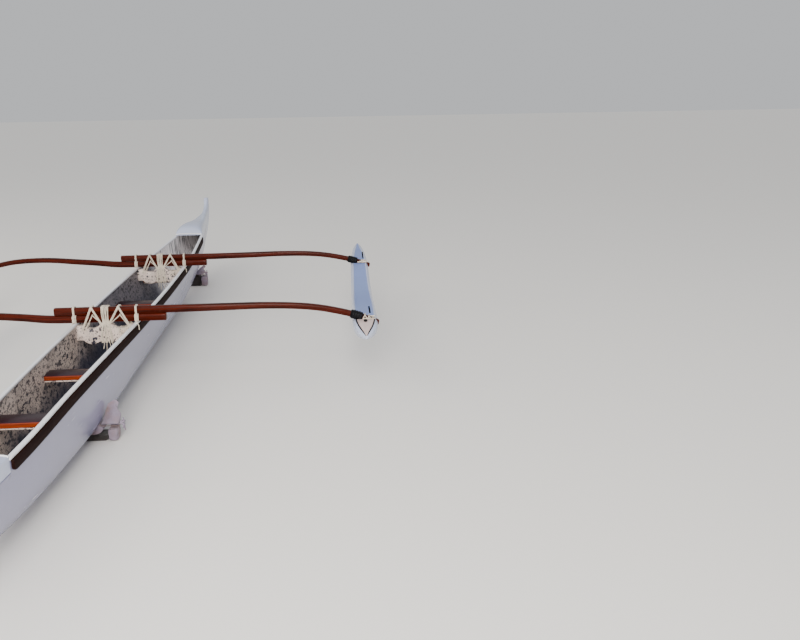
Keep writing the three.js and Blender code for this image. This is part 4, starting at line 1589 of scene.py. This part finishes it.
@dataclass
class Lashings(Assembly):
    """Cream cord that binds the crossbeams to the spreaders, the gunwales and the floats."""

    spreaders: Spreaders
    cord: float = 0.0078
    beam_half: float = 0.025
    beam_top: float = 0.118

    def build(self) -> None:
        """Builds and dresses the pieces."""
        for station in STATIONS:
            self.piece(f"{station.name}_centre_cords", self._centre(station), (self.use.cord,),
                       "cord", [f"{station.name}_lashing_centre"])
            for rig in OUTRIGGERS:
                label = rig.side.label
                self.piece(f"{station.name}_gunwale_cords_{label}",
                           self._gunwale(station, rig.side), (self.use.cord,), "cord",
                           [f"{station.name}_lashing_{label}"])
                self.piece(f"{station.name}_float_cords_{label}", self._float(station, rig),
                           (self.use.cord,), "cord", [f"{station.name}_ama_lashing_{label}"])

    def _hoop(self, x: float, y: float, low: float, high: float, reach: float,
              lean: float = 0.0) -> Form:
        """One closed turn round the beams.

        Args:
            x: The beams' middle.
            y: Where it crosses the top.
            low: Its lowest line.
            high: The top that it lies on.
            reach: Half the width that it goes round.
            lean: How far it shifts in y from the top to the bottom.

        Returns:
            The form.
        """
        r = self.cord / 2
        side, crown, foot = reach + r, high + r, low - r
        corner = 0.010
        outline = ((-side, foot + corner), (-side, crown - corner), (-side + corner, crown),
                   (side - corner, crown), (side, crown - corner), (side, foot + corner),
                   (side - corner, foot), (-side + corner, foot))
        span = crown - foot
        points = [xyz(x + u, y + lean * (crown - v) / span, v) for u, v in outline]
        path: list[Vector] = []
        for a, b in zip(points, points[1:] + points[:1]):
            path += [a, a.lerp(b, 0.5)]
        return tube(path, r, 8, closed=True)

    def _tent(self, x: float, peak: float, foot: float, foot_z: float, high: float,
              offset: float) -> Form:
        """A cord from a foot on the spreader, over the beams, to the same foot ahead of them.

        Args:
            x: The beams' middle.
            peak: y where it crosses the top.
            foot: y of both its feet.
            foot_z: Height of its feet.
            high: The top that it lies on.
            offset: Shift in y for a second turn beside the first.

        Returns:
            The form.
        """
        r = self.cord / 2
        side = self.beam_half + r
        base = self.spreaders.thickness / 2 + r * 0.6
        rise = (
            xyz(x - base, foot + offset, foot_z - 0.018),
            xyz(x - base, foot + offset, foot_z),
            xyz(x - side, foot + (peak - foot) * 0.35 + offset, foot_z + (high - foot_z) * 0.35),
            xyz(x - side, peak + (foot - peak) * 0.06 + offset, high - 0.006),
            xyz(x - side + 0.006, peak + offset, high + r),
        )
        return tube(flowing([*rise, *mirrored(x, rise)], 4), r, 8)

    def _centre(self, station: Station) -> Form:
        """The bundle over the middle post, the crossed tents beside it and the turns on the arm.

        Args:
            station: The pair of crossbeams.

        Returns:
            The form.
        """
        x = station.x
        r = self.cord / 2
        made = Form()
        base = self.spreaders.thickness / 2 + r
        side = self.beam_half + r
        foot = self.spreaders.low(0.0) - r
        for i in range(7):
            share = (i - 3) / 3
            top_y = share * 0.0245 + 0.0012 * math.sin(5.1 * i)
            low_y = share * 0.043 + 0.004 * math.sin(2.7 * i + 1)
            wind = 0.003 * math.cos(3.3 * i)
            points = [xyz(x - out, y, z) for out, y, z in (
                (side - 0.007, top_y, self.beam_top + r), (side, top_y, self.beam_top - 0.006),
                (side, top_y * 0.96 + wind, 0.060), (side, top_y * 0.84, 0.006),
                (base, (top_y * 0.82 + low_y) / 2, -0.040), (base, low_y, -0.105),
                (base - 0.003, low_y, foot + 0.004), (base - 0.012, low_y, foot))]
            turn = flowing([*points, *mirrored(x, points)], 3, closed=True)
            made.join(tube(turn, r, 8, closed=True))
        for peak, feet in ((0.094, (0.166, 0.030)), (-0.106, (-0.030, -0.182))):
            for foot_y in feet:
                foot_z = self.spreaders.top(foot_y) - 0.010
                for offset in (0.0, self.cord * 1.05):
                    made.join(self._tent(x, peak, foot_y, foot_z, self.beam_top, offset))
            inner = peak * 1.02
            for foot_y in (feet[0] * 0.93, feet[1] * 0.93):
                foot_z = self.spreaders.top(foot_y) - 0.012
                made.join(self._tent(x, inner, foot_y, foot_z, 0.0600, -self.cord * 0.4))
        made.join(self._arm_turns(station))
        made.join(self._tails(station))
        return made

    def _arm_turns(self, station: Station) -> Form:
        """Turns through holes along the starboard arm.

        Args:
            station: The pair of crossbeams.

        Returns:
            The form.
        """
        made = Form()
        r = self.cord / 2
        base = self.spreaders.thickness / 2 + r
        for i in range(6):
            y = -0.098 - 0.0165 * i
            top = self.spreaders.top(y) + r
            hole = top - 0.046 - 0.004 * math.sin(1.9 * i)
            points = [xyz(station.x + u, y + shift, z) for u, shift, z in (
                (-base + 0.006, 0.010, hole), (-base, 0.008, hole + 0.006),
                (-base, 0.0, top - 0.010), (-base + 0.009, -0.001, top),
                (base - 0.009, -0.004, top), (base, -0.005, top - 0.010),
                (base, -0.008, hole + 0.006), (base - 0.006, -0.010, hole))]
            made.join(tube(flowing(points, 3), r, 8))
        return made

    def _tails(self, station: Station) -> Form:
        """Loose ends under the bundle.

        Args:
            station: The pair of crossbeams.

        Returns:
            The form.
        """
        made = Form()
        x = station.x - self.spreaders.thickness / 2 - 0.004
        foot = self.spreaders.low(0.0)
        for y, drop, sway in ((-0.018, 0.062, -0.010), (0.004, 0.078, 0.006), (0.021, 0.055, 0.012),
                              (-0.034, 0.040, -0.016)):
            points = [xyz(x, y, foot + 0.020), xyz(x - 0.002, y, foot - 0.004),
                      xyz(x - 0.001, y + sway * 0.4, foot - drop * 0.5),
                      xyz(x + 0.004, y + sway, foot - drop)]
            made.join(tube(flowing(points, 5), self.cord * 0.32, 7))
        return made

    def _gunwale(self, station: Station, side: Side) -> Form:
        """Turns round both beams at a gunwale, more of them round the lower beam.

        Args:
            station: The pair of crossbeams.
            side: Which side.

        Returns:
            The form.
        """
        made = Form()
        edge = self.form.half_beam(station.x)
        middle = side.value * (edge - 0.004)
        for i in range(2):
            y = middle + side.value * (i - 0.5) * self.cord
            made.join(self._hoop(station.x, y, 0.006, self.beam_top, self.beam_half))
        for i in range(4):
            y = middle + side.value * (i - 1.5) * self.cord * 0.98
            reach = self.beam_half + (0.0 if i in (0, 3) else self.cord * 0.9)
            made.join(self._hoop(station.x, y, 0.005, 0.0605 - self.cord, reach, 0.002 * math.sin(i)))
        r = self.cord / 2
        out = edge + 0.0085
        tail = [xyz(station.x - self.beam_half - back, side.value * y, z) for back, y, z in (
            (r, edge - 0.004, 0.010), (0.010, edge + 0.002, r + 0.001), (0.034, out - 0.004, r),
            (0.046, out + 0.010, -0.022), (0.050, out + 0.012, -0.050))]
        made.join(tube(flowing(tail, 5), r * 0.85, 8))
        return made

    def _float(self, station: Station, rig: Outrigger) -> Form:
        """Cord laced in teeth up each face of the beam's outer end, over a turn along its foot.

        Args:
            station: The pair of crossbeams.
            rig: The side's float and beams.

        Returns:
            The form.
        """
        line, side = BeamLine(rig, station), rig.side.value
        made = Form()
        r = self.cord * 0.42
        teeth, lanes = (3, 1) if station.name == "stern" else (1, 3)
        start, end = rig.wrap + 0.096, rig.rows[-1][0] - 0.030
        deck = line.joint_deck() + r
        beside = (end - start) * 0.11 / teeth
        for face in (-1, 1):
            for lane in range(lanes):
                drop = lane * 0.0062
                points: list[Vector] = []
                for i in range(2 * teeth + 1):
                    out = start + (end - start) * i / (2 * teeth)
                    top = line.height(out) + line.depth(out) / 2 + r
                    corner = (self.beam_half + r, top - r - drop)
                    turns = ((-beside, *corner), (0.0, self.beam_half * 0.35, top - drop * 0.1),
                             (beside, *corner))
                    if i % 2 == 0:
                        turns = ((0.0, self.beam_half + 0.010 + drop * 0.3, deck),)
                    points += [xyz(station.x + face * x, side * (out + shift), z)
                               for shift, x, z in turns]
                made.join(tube(flowing(points, 4), r * 1.15, 8))
            foot = [xyz(station.x + face * (self.beam_half + 0.013), side * out, deck)
                    for out in (start - 0.002, (start + end) / 2, end + 0.004)]
            made.join(tube(flowing(foot, 4), r * 1.3, 8))
        return made


AMA_ROWS: Rows = (  # x, deck over the joints' line, half deck, half body, depth
    (-0.290, -0.060, 0.004, 0.010, 0.024),
    (-0.262, -0.048, 0.020, 0.036, 0.048),
    (-0.190, -0.024, 0.050, 0.070, 0.092),
    (-0.070, -0.003, 0.074, 0.092, 0.150),
    (0.060, 0.000, 0.080, 0.097, 0.188),
    (0.250, -0.008, 0.083, 0.098, 0.204),
    (0.600, -0.042, 0.084, 0.098, 0.204),
    (1.000, -0.082, 0.082, 0.098, 0.200),
    (1.350, -0.100, 0.078, 0.096, 0.198),
    (1.750, -0.074, 0.074, 0.092, 0.204),
    (2.000, -0.018, 0.070, 0.088, 0.206),
    (2.150, 0.000, 0.068, 0.086, 0.200),
    (2.400, 0.008, 0.058, 0.078, 0.178),
    (2.700, 0.010, 0.042, 0.062, 0.138),
    (2.950, 0.012, 0.020, 0.036, 0.078),
    (3.060, 0.014, 0.006, 0.012, 0.032),
)
AMA_SIDE = ((0.97, 0.13), (1.0, 0.3), (0.95, 0.53), (0.77, 0.77), (0.43, 0.94))
PLUG_PROFILE = (  # share of the radius, height over the deck
    (0.92, -0.0135), (1.0, -0.012), (1.0, 0.0004), (1.08, 0.0006), (1.10, 0.0040), (1.04, 0.0080),
    (0.86, 0.0110), (0.60, 0.0124), (0.25, 0.0130))


@dataclass
class Floats(Assembly):
    """The two amas, with the slots, channels and plugs in their decks."""

    spacing: float = 0.04
    border: float = 0.012
    sink: float = 0.0022
    slot_from: float = 0.150
    slot_length: float = 0.320
    slot_width: float = 0.013
    slot_offset: float = 0.042
    slot_depth: float = 0.026
    channel: float = 0.030
    panel_to: float = -0.035
    groove: float = 0.007
    plug_x: float = -0.080
    nose_from: float = 2.150
    plug_radius: float = 0.014

    def __post_init__(self) -> None:
        """Fairs the float's table."""
        self._columns = [Fairing(AMA_ROWS, column) for column in (1, 2, 3, 4)]

    def build(self) -> None:
        """Builds and dresses the pieces."""
        for rig in OUTRIGGERS:
            label = rig.side.label
            body = self.piece(f"float_{label}", self._body(rig),
                              (self.use.bright, self.use.deck, self.use.nose, self.use.rubber),
                              "gelcoat", [f"ama_{label}"])
            self.shop.carve(body, self._cuts(rig))
            self.piece(f"float_plug_{label}", self._plug(rig), (self.use.rubber,), "rubber",
                       [f"ama_plug_{label}"])

    def _share(self, rig: Outrigger) -> float:
        """How far the rows ahead of the bow crossbeams are drawn in on a side's float."""
        return (rig.nose - self.nose_from) / (AMA_ROWS[-1][0] - self.nose_from)

    def _row(self, rig: Outrigger, x: float) -> float:
        """The table's place for a place along a side's float."""
        ahead = x - self.nose_from
        return self.nose_from + ahead / self._share(rig) if ahead > 0 else x

    def deck(self, rig: Outrigger, x: float) -> float:
        """The deck's height at a place along a float.

        Args:
            rig: The side's float and beams.
            x: Place along the canoe.

        Returns:
            The height.
        """
        aft, fore = (BeamLine(rig, station).joint_deck() for station in STATIONS)
        share = (x - STATIONS[0].x) / (STATIONS[1].x - STATIONS[0].x)
        return aft + (fore - aft) * share + self._columns[0](self._row(rig, x))

    def _body(self, rig: Outrigger) -> Form:
        """A full-bodied float with a flat deck inside a raised, rounded border.

        Args:
            rig: The side's float and beams.

        Returns:
            The form.
        """
        tip, pace = rig.nose, self._share(rig)
        middle = rig.middle
        near = [tip - back * pace for back in (0.015, 0.040, 0.100, 0.230, 0.360)]
        rings, xs = [], spaced(AMA_ROWS[0][0], tip, self.spacing,
                               (-0.286, -0.281, -0.274, -0.267, -0.254, -0.243, -0.230, *near))
        for x in xs:
            _, deck, body, depth = (column(self._row(rig, x)) for column in self._columns)
            top = self.deck(rig, x)
            border, sink = min(self.border, deck * 0.4), min(self.sink, deck * 0.1)
            groove = min(self.groove, deck * 0.1) if x < self.panel_to else 0.0
            half = [(share * (deck - border), sink * (groove == 0))
                    for share in (0.25, 0.5, 0.75, 1.0)]
            half += [(deck - border * 0.8, sink * 0.3 + groove), (deck - border * 0.45, groove),
                     (deck - border * 0.12, 0.0008 + groove * 0.6)]
            side = [xyz(deck + 0.001, 0.004, 0), *(xyz(u * body, v * depth, 0) for u, v in AMA_SIDE),
                    xyz(0, depth, 0), xyz(-AMA_SIDE[-1][0] * body, AMA_SIDE[-1][1] * depth, 0)]
            half += [(p.x, p.y) for p in flowing(side, 4)[:-4]]
            half[-1] = (0.0, depth)
            rest = [(-u, v) for u, v in reversed(half[:-1])]
            rings.append([xyz(x, middle + u, top - v) for u, v in ((0.0, sink), *half, *rest)])
        form, count = loft(rings), len(rings[0])
        # Painted light and shade: the deck's middle takes the blue sky reflection, the nose panel the
        # cream of warm light, and the band round the nose panel black rubber as shade in its groove.
        for i, x in enumerate(xs[:-1]):
            for j in range(count):
                inward = min(j, count - 1 - j)
                if inward < 4:
                    form.tints[i * count + j] = 1 if x > self.panel_to else 2
                elif x < self.panel_to and inward < 7:
                    form.tints[i * count + j] = 3
        return form

    def _cuts(self, rig: Outrigger) -> list[Form]:
        """The slots ahead of each beam, the channels under them and the plug's hole.

        Args:
            rig: The side's float and beams.

        Returns:
            The forms.
        """
        middle = rig.middle
        cuts = []
        for station in STATIONS:
            y = middle + rig.side.value * self.slot_offset
            x0, x1 = station.x + self.slot_from, station.x + self.slot_from + self.slot_length
            if x1 < rig.nose:
                cuts.append(self._slot(rig, x0, x1, y))
            line = BeamLine(rig, station)
            floor = line.joint_deck() - 0.022
            low = xyz(station.x - self.channel, middle - 0.14, floor)
            high = xyz(station.x + self.channel, middle + 0.14, floor + 0.1)
            cuts.append(block(low, high, 0.004))
        cuts.append(loft([self._disc(rig, self.plug_radius + 0.0008, rise, 32)
                          for rise in (-0.014, 0.05)]))
        return cuts

    def _disc(self, rig: Outrigger, radius: float, rise: float, sides: int = 48) -> Ring:
        """A circle round the plug's middle, of so many sides, at a rise over the deck.

        Args:
            rig: The side's float and beams.
            radius: Its radius.
            rise: Its height over the deck.
            sides: Points round it.

        Returns:
            The points.
        """
        top = self.deck(rig, self.plug_x)
        return [xyz(self.plug_x + radius * c, rig.middle + radius * s, top + rise)
                for c, s in lap(sides)]

    def _slot(self, rig: Outrigger, x0: float, x1: float, y: float) -> Form:
        """What is cut for one slot, its sides painted black as shade.

        Args:
            rig: The side's float and beams.
            x0: Its aft end.
            x1: Its fore end.
            y: Its middle line.

        Returns:
            The form.
        """
        floor = min(self.deck(rig, x0), self.deck(rig, x1)) - self.slot_depth
        slot = block(xyz(x0, y - self.slot_width / 2, floor),
                     xyz(x1, y + self.slot_width / 2, floor + 0.15), 0.006)
        # Painted shade: the slot's sides take the black rubber.
        slot.tints = [3] * len(slot.faces)
        return slot

    def _plug(self, rig: Outrigger) -> Form:
        """A black plug with a domed top."""
        return loft([self._disc(rig, self.plug_radius * share, rise)
                     for share, rise in PLUG_PROFILE])


@dataclass(frozen=True)
class StandPlace:
    """One ground stand: faces of its lower pads, where the upper pads start, and their tops."""

    name: str
    x: float
    pad_outer: float
    pad_inner: float
    split: float
    wedge_outer: float
    wedge_top: float


STANDS = (
    StandPlace("stern", -0.960, 0.306, 0.216, -0.437, 0.338, -0.256),
    StandPlace("bow", 3.750, 0.222, 0.126, -0.412, 0.212, -0.284),
)


@dataclass
class GroundStands(Assembly):
    """Cloth-wrapped pads that cradle the hull, tied with cord."""

    ground: float = -GUNWALE_TOP
    length: float = 0.200
    pad_length: float = 0.130
    bolster_length: float = 0.150
    bolster_wrap: float = 0.032
    bolster_edge: float = 0.030
    fold: float = 0.014
    fold_from: float = 0.030
    sweep: float = 0.170
    taper: float = 0.4
    cinch: float = 0.010
    strap_width: float = 0.100
    strap_slack: float = 0.032

    def build(self) -> None:
        """Builds and dresses the pieces."""
        for seed, place in enumerate(STANDS):
            bolster = self.piece(f"{place.name}_bolster", self._bolster(place), (self.use.bolster,),
                                 "cloth", [f"{place.name}_stand_bolster"], sharp=60)
            for side in Side:
                lower = self.piece(f"{place.name}_pad_{side.label}", self._lower(place, side, seed),
                                   (self.use.cloth,), "cloth",
                                   [f"{place.name}_stand_pad_{side.label}"], sharp=60)
                upper = self.piece(f"{place.name}_wedge_{side.label}", self._upper(place, side, seed),
                                   (self.use.cloth,), "cloth",
                                   [f"{place.name}_stand_wedge_{side.label}"], sharp=60)
                self.piece(f"{place.name}_tie_{side.label}", self._tie(place, side),
                           (self.use.tie, self.use.cloth), "cord")
            self.piece(f"{place.name}_strap", self._strap(place), (self.use.cloth,), "cloth")

    def _crease(self, point: Vector, seed: int) -> float:
        """How far cloth folds in at a point, from 0 to 1.

        Args:
            point: Where it is read.
            seed: Number that sets the folds.

        Returns:
            The share of the full depth.
        """
        wave = noise.noise(xyz(point.x * 14 + seed * 7, point.y * 30, point.z * 22))
        fine = noise.noise(xyz(point.x * 30, point.y * 70 + seed * 3, point.z * 45))
        return min(max(0.5 + 0.8 * wave + 0.4 * fine, 0.0), 1.0)

    def _cushion(self, place: StandPlace, side: Side, seed: int,
                 outline: Callable[[float, float], tuple[float, float]]) -> Form:
        """A stuffed block along x, its section drawn in towards both ends.

        Args:
            place: The stand.
            side: Which side it stands on.
            seed: Number that sets its folds.
            outline: Gives y outboard and z for a turn from 0 to 1 and a place along from -1 to 1.

        Returns:
            The form.
        """
        sides, rings = 44, []
        along = [-1.0, -0.97, -0.92, *(i / 10 for i in range(-8, 9)), 0.92, 0.97, 1.0]
        for share in along:
            pull = 1 - 0.16 * abs(share) ** 6
            x = place.x + (self.pad_length - self.length + share * self.pad_length) / 2
            points = [outline(j / sides, share) for j in range(sides)]
            cy = sum(p[0] for p in points) / sides
            cz = sum(p[1] for p in points) / sides
            ring = []
            for y, z in points:
                y, z = cy + (y - cy) * pull, cz + (z - cz) * pull
                rise = max(z - place.split, 0.0) / (place.wedge_top - place.split)
                swept = self.sweep * rise**1.3 * (1 - share) / 2
                spot = xyz(x + swept, side.value * y, z)
                tied = math.exp(-((z - place.split) / 0.020) ** 2)
                clear = min(max((z - self.ground) / self.fold_from, 0.0), 1.0)
                deep = self.fold * clear * self._crease(spot, seed) + self.cinch * tied
                reach = math.hypot(y - cy, z - cz)
                scale = 1 - deep / max(reach, 0.02)
                y, z = cy + (y - cy) * scale, cz + (z - cz) * scale
                z = max(z, self.ground)
                skin = self.form.breadth(spot.x, z) + 0.0015
                if z > self.form.keel(spot.x) and abs(y) < skin and z < -0.05:
                    y = skin
                ring.append(xyz(spot.x, side.value * y, z))
            rings.append(ring)
        return loft(rings)

    def _lower(self, place: StandPlace, side: Side, seed: int) -> Form:
        """The pad that stands on the ground.

        Args:
            place: The stand.
            side: Which side.
            seed: Number that sets the folds.

        Returns:
            The form.
        """
        middle = (place.pad_outer + place.pad_inner) / 2
        half = (place.pad_outer - place.pad_inner) / 2
        centre = (self.ground + place.split) / 2
        tall = (place.split - self.ground) / 2 - HAIR

        def outline(turn: float, share: float) -> tuple[float, float]:
            """The section's point at a turn.

            Args:
                turn: Turn round the section, from 0 to 1.
                share: Place along the pad, from -1 to 1.

            Returns:
                The distance outboard and the height.
            """
            c, s = power_point(TAU * turn, 3.4 if turn > 0.5 else 4.5)
            drawn = 2 * half * (0.12 + self.taper * 0.5 * max(share, 0.0)) * (c + 1) / 2
            return (middle + half * c - drawn, centre + tall * s)

        return self._cushion(place, side, seed, outline)

    def _upper(self, place: StandPlace, side: Side, seed: int) -> Form:
        """The pad that leans on the hull, its outer face rounded over to a thin top edge.

        Args:
            place: The stand.
            side: Which side.
            seed: Number that sets the folds.

        Returns:
            The form.
        """
        low, high = place.split + HAIR, place.wedge_top
        foot_inner = place.pad_inner - 0.01

        def outline(turn: float, share: float) -> tuple[float, float]:
            """The section's point at a turn.

            Args:
                turn: Turn round the section, from 0 to 1.
                share: Place along the pad, from -1 to 1.

            Returns:
                The distance outboard and the height.
            """
            top = high - 0.016 - 0.090 * (1 - share) / 2 - 0.025 * max(share, 0.0) ** 4
            lean = 0.080 * abs(share) ** 1.5
            if turn < 0.5:
                t = turn * 2
                z = low + (top - low) * math.sin(t * math.pi / 2) ** 0.9
                skin = self.form.breadth(place.x, z) + 0.002 + lean * (z - low) / (top - low)
                full = (place.wedge_outer - skin) * (0.84 - self.taper * max(share, 0.0))
                thick = full * max(1 - t**1.9, 0.06)
                return (skin + thick, z)
            t = (turn - 0.5) * 2
            z = top + (low - top) * t
            skin = self.form.breadth(place.x, z) + 0.002 + lean * (1 - t)
            return (max(skin, foot_inner if t > 0.98 else 0.0), z)

        return self._cushion(place, side, seed + 5, outline)

    def _bolster(self, place: StandPlace) -> Form:
        """The bolster across under the keel, hollowed to the hull's bottom.

        Args:
            place: The stand.

        Returns:
            The form.
        """
        reach = place.pad_inner - HAIR
        high = min(self.form.keel(place.x) + self.bolster_wrap, place.split - HAIR)
        rings = []
        for share in (-1.0, -0.97, -0.9, *(i / 8 for i in range(-6, 7)), 0.9, 0.97, 1.0):
            x = place.x + share * self.bolster_length / 2
            pull = 0.012 * abs(share) ** 8
            sheer, power = self.form.sheer(x), self.form.bilge(x)
            ys = [max(min(-reach + 2 * reach * i / 30, reach - pull), -reach + pull)
                  for i in range(31)]
            ring = []
            for y in ys:
                part = min(abs(y) / self.form.half_beam(x), 1.0)
                bottom = sheer - (sheer - self.form.keel(x)) * (1 - part**power) ** (1 / power)
                slope = high - max(abs(y) - 0.085, 0.0) * 0.9
                top = max(slope, self.ground + self.bolster_edge)
                ring.append(xyz(x, y, min(top - pull, bottom - 0.0065)))
            for i, y in reversed(list(enumerate(ys))):
                ring.append(xyz(x, y, self.ground + (pull if i in (0, len(ys) - 1) else 0.0)))
            rings.append(ring)
        return loft(rings)

    def _strap(self, place: StandPlace) -> Form:
        """A flat band of cloth from tie to tie under the hull.

        Args:
            place: The stand.

        Returns:
            The form.
        """
        x = place.x - self.length / 2 + self.pad_length / 2
        sheer, power = self.form.sheer(x), self.form.bilge(x)
        share = (sheer - place.split - 0.012) / (sheer - self.form.keel(x))
        start = math.asin(share ** (power / 2))
        rings = []
        for c, s in arc(start, math.pi - 2 * start, 32, power):
            ring = []
            slack = self.strap_slack * min(max(abs(c) - 0.45, 0.0) / 0.25, 1.0)
            for share, lift in ((-1, 0.0012), (1, 0.0012), (1, 0.0042 + slack), (0.3, 0.0050 + slack),
                                (-0.4, 0.0044 + slack), (-1, 0.0042 + slack)):
                u = x + share * self.strap_width / 2
                depth = self.form.sheer(u) - self.form.keel(u) + lift
                ring.append(xyz(u, (self.form.half_beam(u) + lift) * c,
                                self.form.sheer(u) - depth * s))
            rings.append(ring)
        return loft(rings)

    def _tie(self, place: StandPlace, side: Side) -> Form:
        """Cord round the joint of the two pads, and the cloth knot that closes it outboard.

        Args:
            place: The stand.
            side: Which side.

        Returns:
            The form.
        """
        r = 0.0026
        x = place.x + (self.pad_length - self.length) / 2
        inner_foot = self.form.breadth(place.x, place.split + 0.012)
        outer = inner_foot + (place.wedge_outer - inner_foot) * 0.84 - self.cinch
        inner = inner_foot + 0.006
        half = self.pad_length / 2 + 0.0015
        z = place.split + 0.006
        loop = [xyz(x + u, side.value * y, z) for u, y in (
            (-half, inner + 0.02), (-half, outer - 0.02), (-half * 0.85, outer + 0.002),
            (0, outer + 0.001), (half * 0.8, outer - 0.040), (half, outer - 0.065),
            (half, inner + 0.02), (half * 0.7, inner), (-half * 0.7, inner))]
        made = tube(flowing(loop, 5, closed=True), r, 8, closed=True)
        knot = xyz(x - half * 0.75, side.value * (outer + 0.022), place.split + 0.018)
        cloth = Form()
        for turn in range(3):
            loop = []
            for angle in (TAU * i / 10 for i in range(10)):
                loop.append(knot + xyz(0.015 * math.cos(angle + turn),
                                       0.011 * math.sin(2 * angle + turn) * side.value,
                                       0.012 * math.sin(angle + turn * 0.7)))
            cloth.join(tube(flowing(loop, 2, closed=True), 0.0062, 8, closed=True))
        for du, drop in ((-0.022, -0.030), (0.016, -0.058), (-0.012, 0.040)):
            points = [knot, knot + xyz(du * 0.5, side.value * 0.006, drop * 0.3),
                      knot + xyz(du, side.value * 0.008, drop)]
            cloth.join(tube(flowing(points, 5), 0.0050, 7))
        cloth.tints = [1] * len(cloth.faces)
        return made.join(cloth)


@dataclass(frozen=True)
class Lamp:
    """A soft square light: its place, what it faces, its edge, its watts and its tint."""

    name: str
    place: tuple[float, float, float]
    aim: tuple[float, float, float]
    size: float
    power: float
    tint: tuple[float, float, float]

    def hang(self) -> None:
        """Hangs the light."""
        light = bpy.data.lights.new(self.name, "AREA")
        light.size, light.energy, light.color = self.size, self.power, self.tint
        thing = placed(self.name, light)
        thing.location = self.place
        heading = Vector(self.aim) - Vector(self.place)
        thing.rotation_euler = heading.to_track_quat("-Z", "Y").to_euler()


@dataclass
class Studio:
    """Pale floor, soft light and the camera."""

    floor: Colour = paint(0xEDEAE5)
    floor_reach: float = 60.0
    sky: Colour = paint(0xEAECEF)
    sky_strength: float = 0.72
    sun_power: float = 0.75
    sun_angle: float = 1.2
    sun_heading: tuple[float, float, float] = (0.5, -0.35, -1.0)
    lamps: tuple[Lamp, ...] = (
        Lamp("key", (-9.5, -1.2, 6.0), (1.2, 0.0, 0.3), 4.5, 620.0, (1.0, 0.97, 0.93)),
        Lamp("low", (-9.0, -0.2, 2.6), (4.0, 0.0, 0.3), 2.0, 420.0, (1.0, 0.96, 0.9)),
        Lamp("starboard", (-2.0, -9.0, 5.0), (1.2, 0.0, 0.3), 7.0, 60.0, (0.86, 0.91, 1.0)),
        Lamp("port", (0.0, 9.0, 6.5), (1.2, 0.0, 0.3), 8.0, 420.0, (1.0, 0.93, 0.84)),
    )
    focal: float = 890.0
    frame_width: float = 800.0
    sensor_width: float = 36.0
    eye: tuple[float, float, float] = (-6.641, -1.812, 1.707)
    heading: tuple[float, float, float] = (0.9647, -0.0599, -0.2563)
    up: tuple[float, float, float] = (0.2548, -0.0311, 0.9665)

    def build(self, datum: Vector) -> None:
        """Sets the stage.

        Args:
            datum: The canoe's own origin among the solids.
        """
        self._floor()
        for lamp in self.lamps:
            lamp.hang()
        self._sky()
        self._camera(datum)

    def _floor(self) -> None:
        """A wide pale floor."""
        mesh = bpy.data.meshes.new("studio_floor")
        r = self.floor_reach
        mesh.from_pydata([(-r, -r, 0), (r, -r, 0), (r, r, 0), (-r, r, 0)], [], [(0, 1, 2, 3)])
        mesh.materials.append(Look("studio_floor", Roughness=0.9, Base_Color=self.floor).material)
        placed("studio_floor", mesh)

    def _sky(self) -> None:
        """A low, wide sun and an even sky."""
        sun = bpy.data.lights.new("sun", "SUN")
        sun.energy, sun.angle = self.sun_power, self.sun_angle
        heading = Vector(self.sun_heading)
        placed("sun", sun).rotation_euler = heading.to_track_quat("-Z", "Y").to_euler()
        world = bpy.data.worlds.new("studio")
        world.use_nodes = True
        backdrop = world.node_tree.nodes["Background"]
        backdrop.inputs["Color"].default_value = self.sky
        backdrop.inputs["Strength"].default_value = self.sky_strength
        bpy.context.scene.world = world

    def _camera(self, datum: Vector) -> None:
        """Sets the camera at the photograph's viewing angle.

        Args:
            datum: The canoe's own origin among the solids.
        """
        lens = bpy.data.cameras.new("view")
        lens.sensor_width = self.sensor_width
        lens.lens = self.focal * self.sensor_width / self.frame_width
        lens.clip_end = 200.0
        ahead = Vector(self.heading).normalized()
        right = ahead.cross(Vector(self.up)).normalized()
        turn = Matrix((right, right.cross(ahead), -ahead)).transposed().to_4x4()
        turn.translation = Vector(self.eye) + datum
        camera = placed("view", lens)
        camera.matrix_world = turn
        bpy.context.scene.camera = camera


def main() -> None:
    """Builds the canoe and its stage."""
    logging.basicConfig(level=logging.INFO, format="%(message)s")
    shop = Workshop()
    Studio().build(shop.datum)
    common = (shop, Finishes(), HullForm())
    spreaders = Spreaders(*common)
    for assembly in (Hull(*common), Rails(*common), Seats(*common), Crossbeams(*common), spreaders,
                     Lashings(*common, spreaders), Floats(*common), GroundStands(*common)):
        assembly.build()
        log.info("%s done", type(assembly).__name__)


if __name__ == "__main__":
    main()
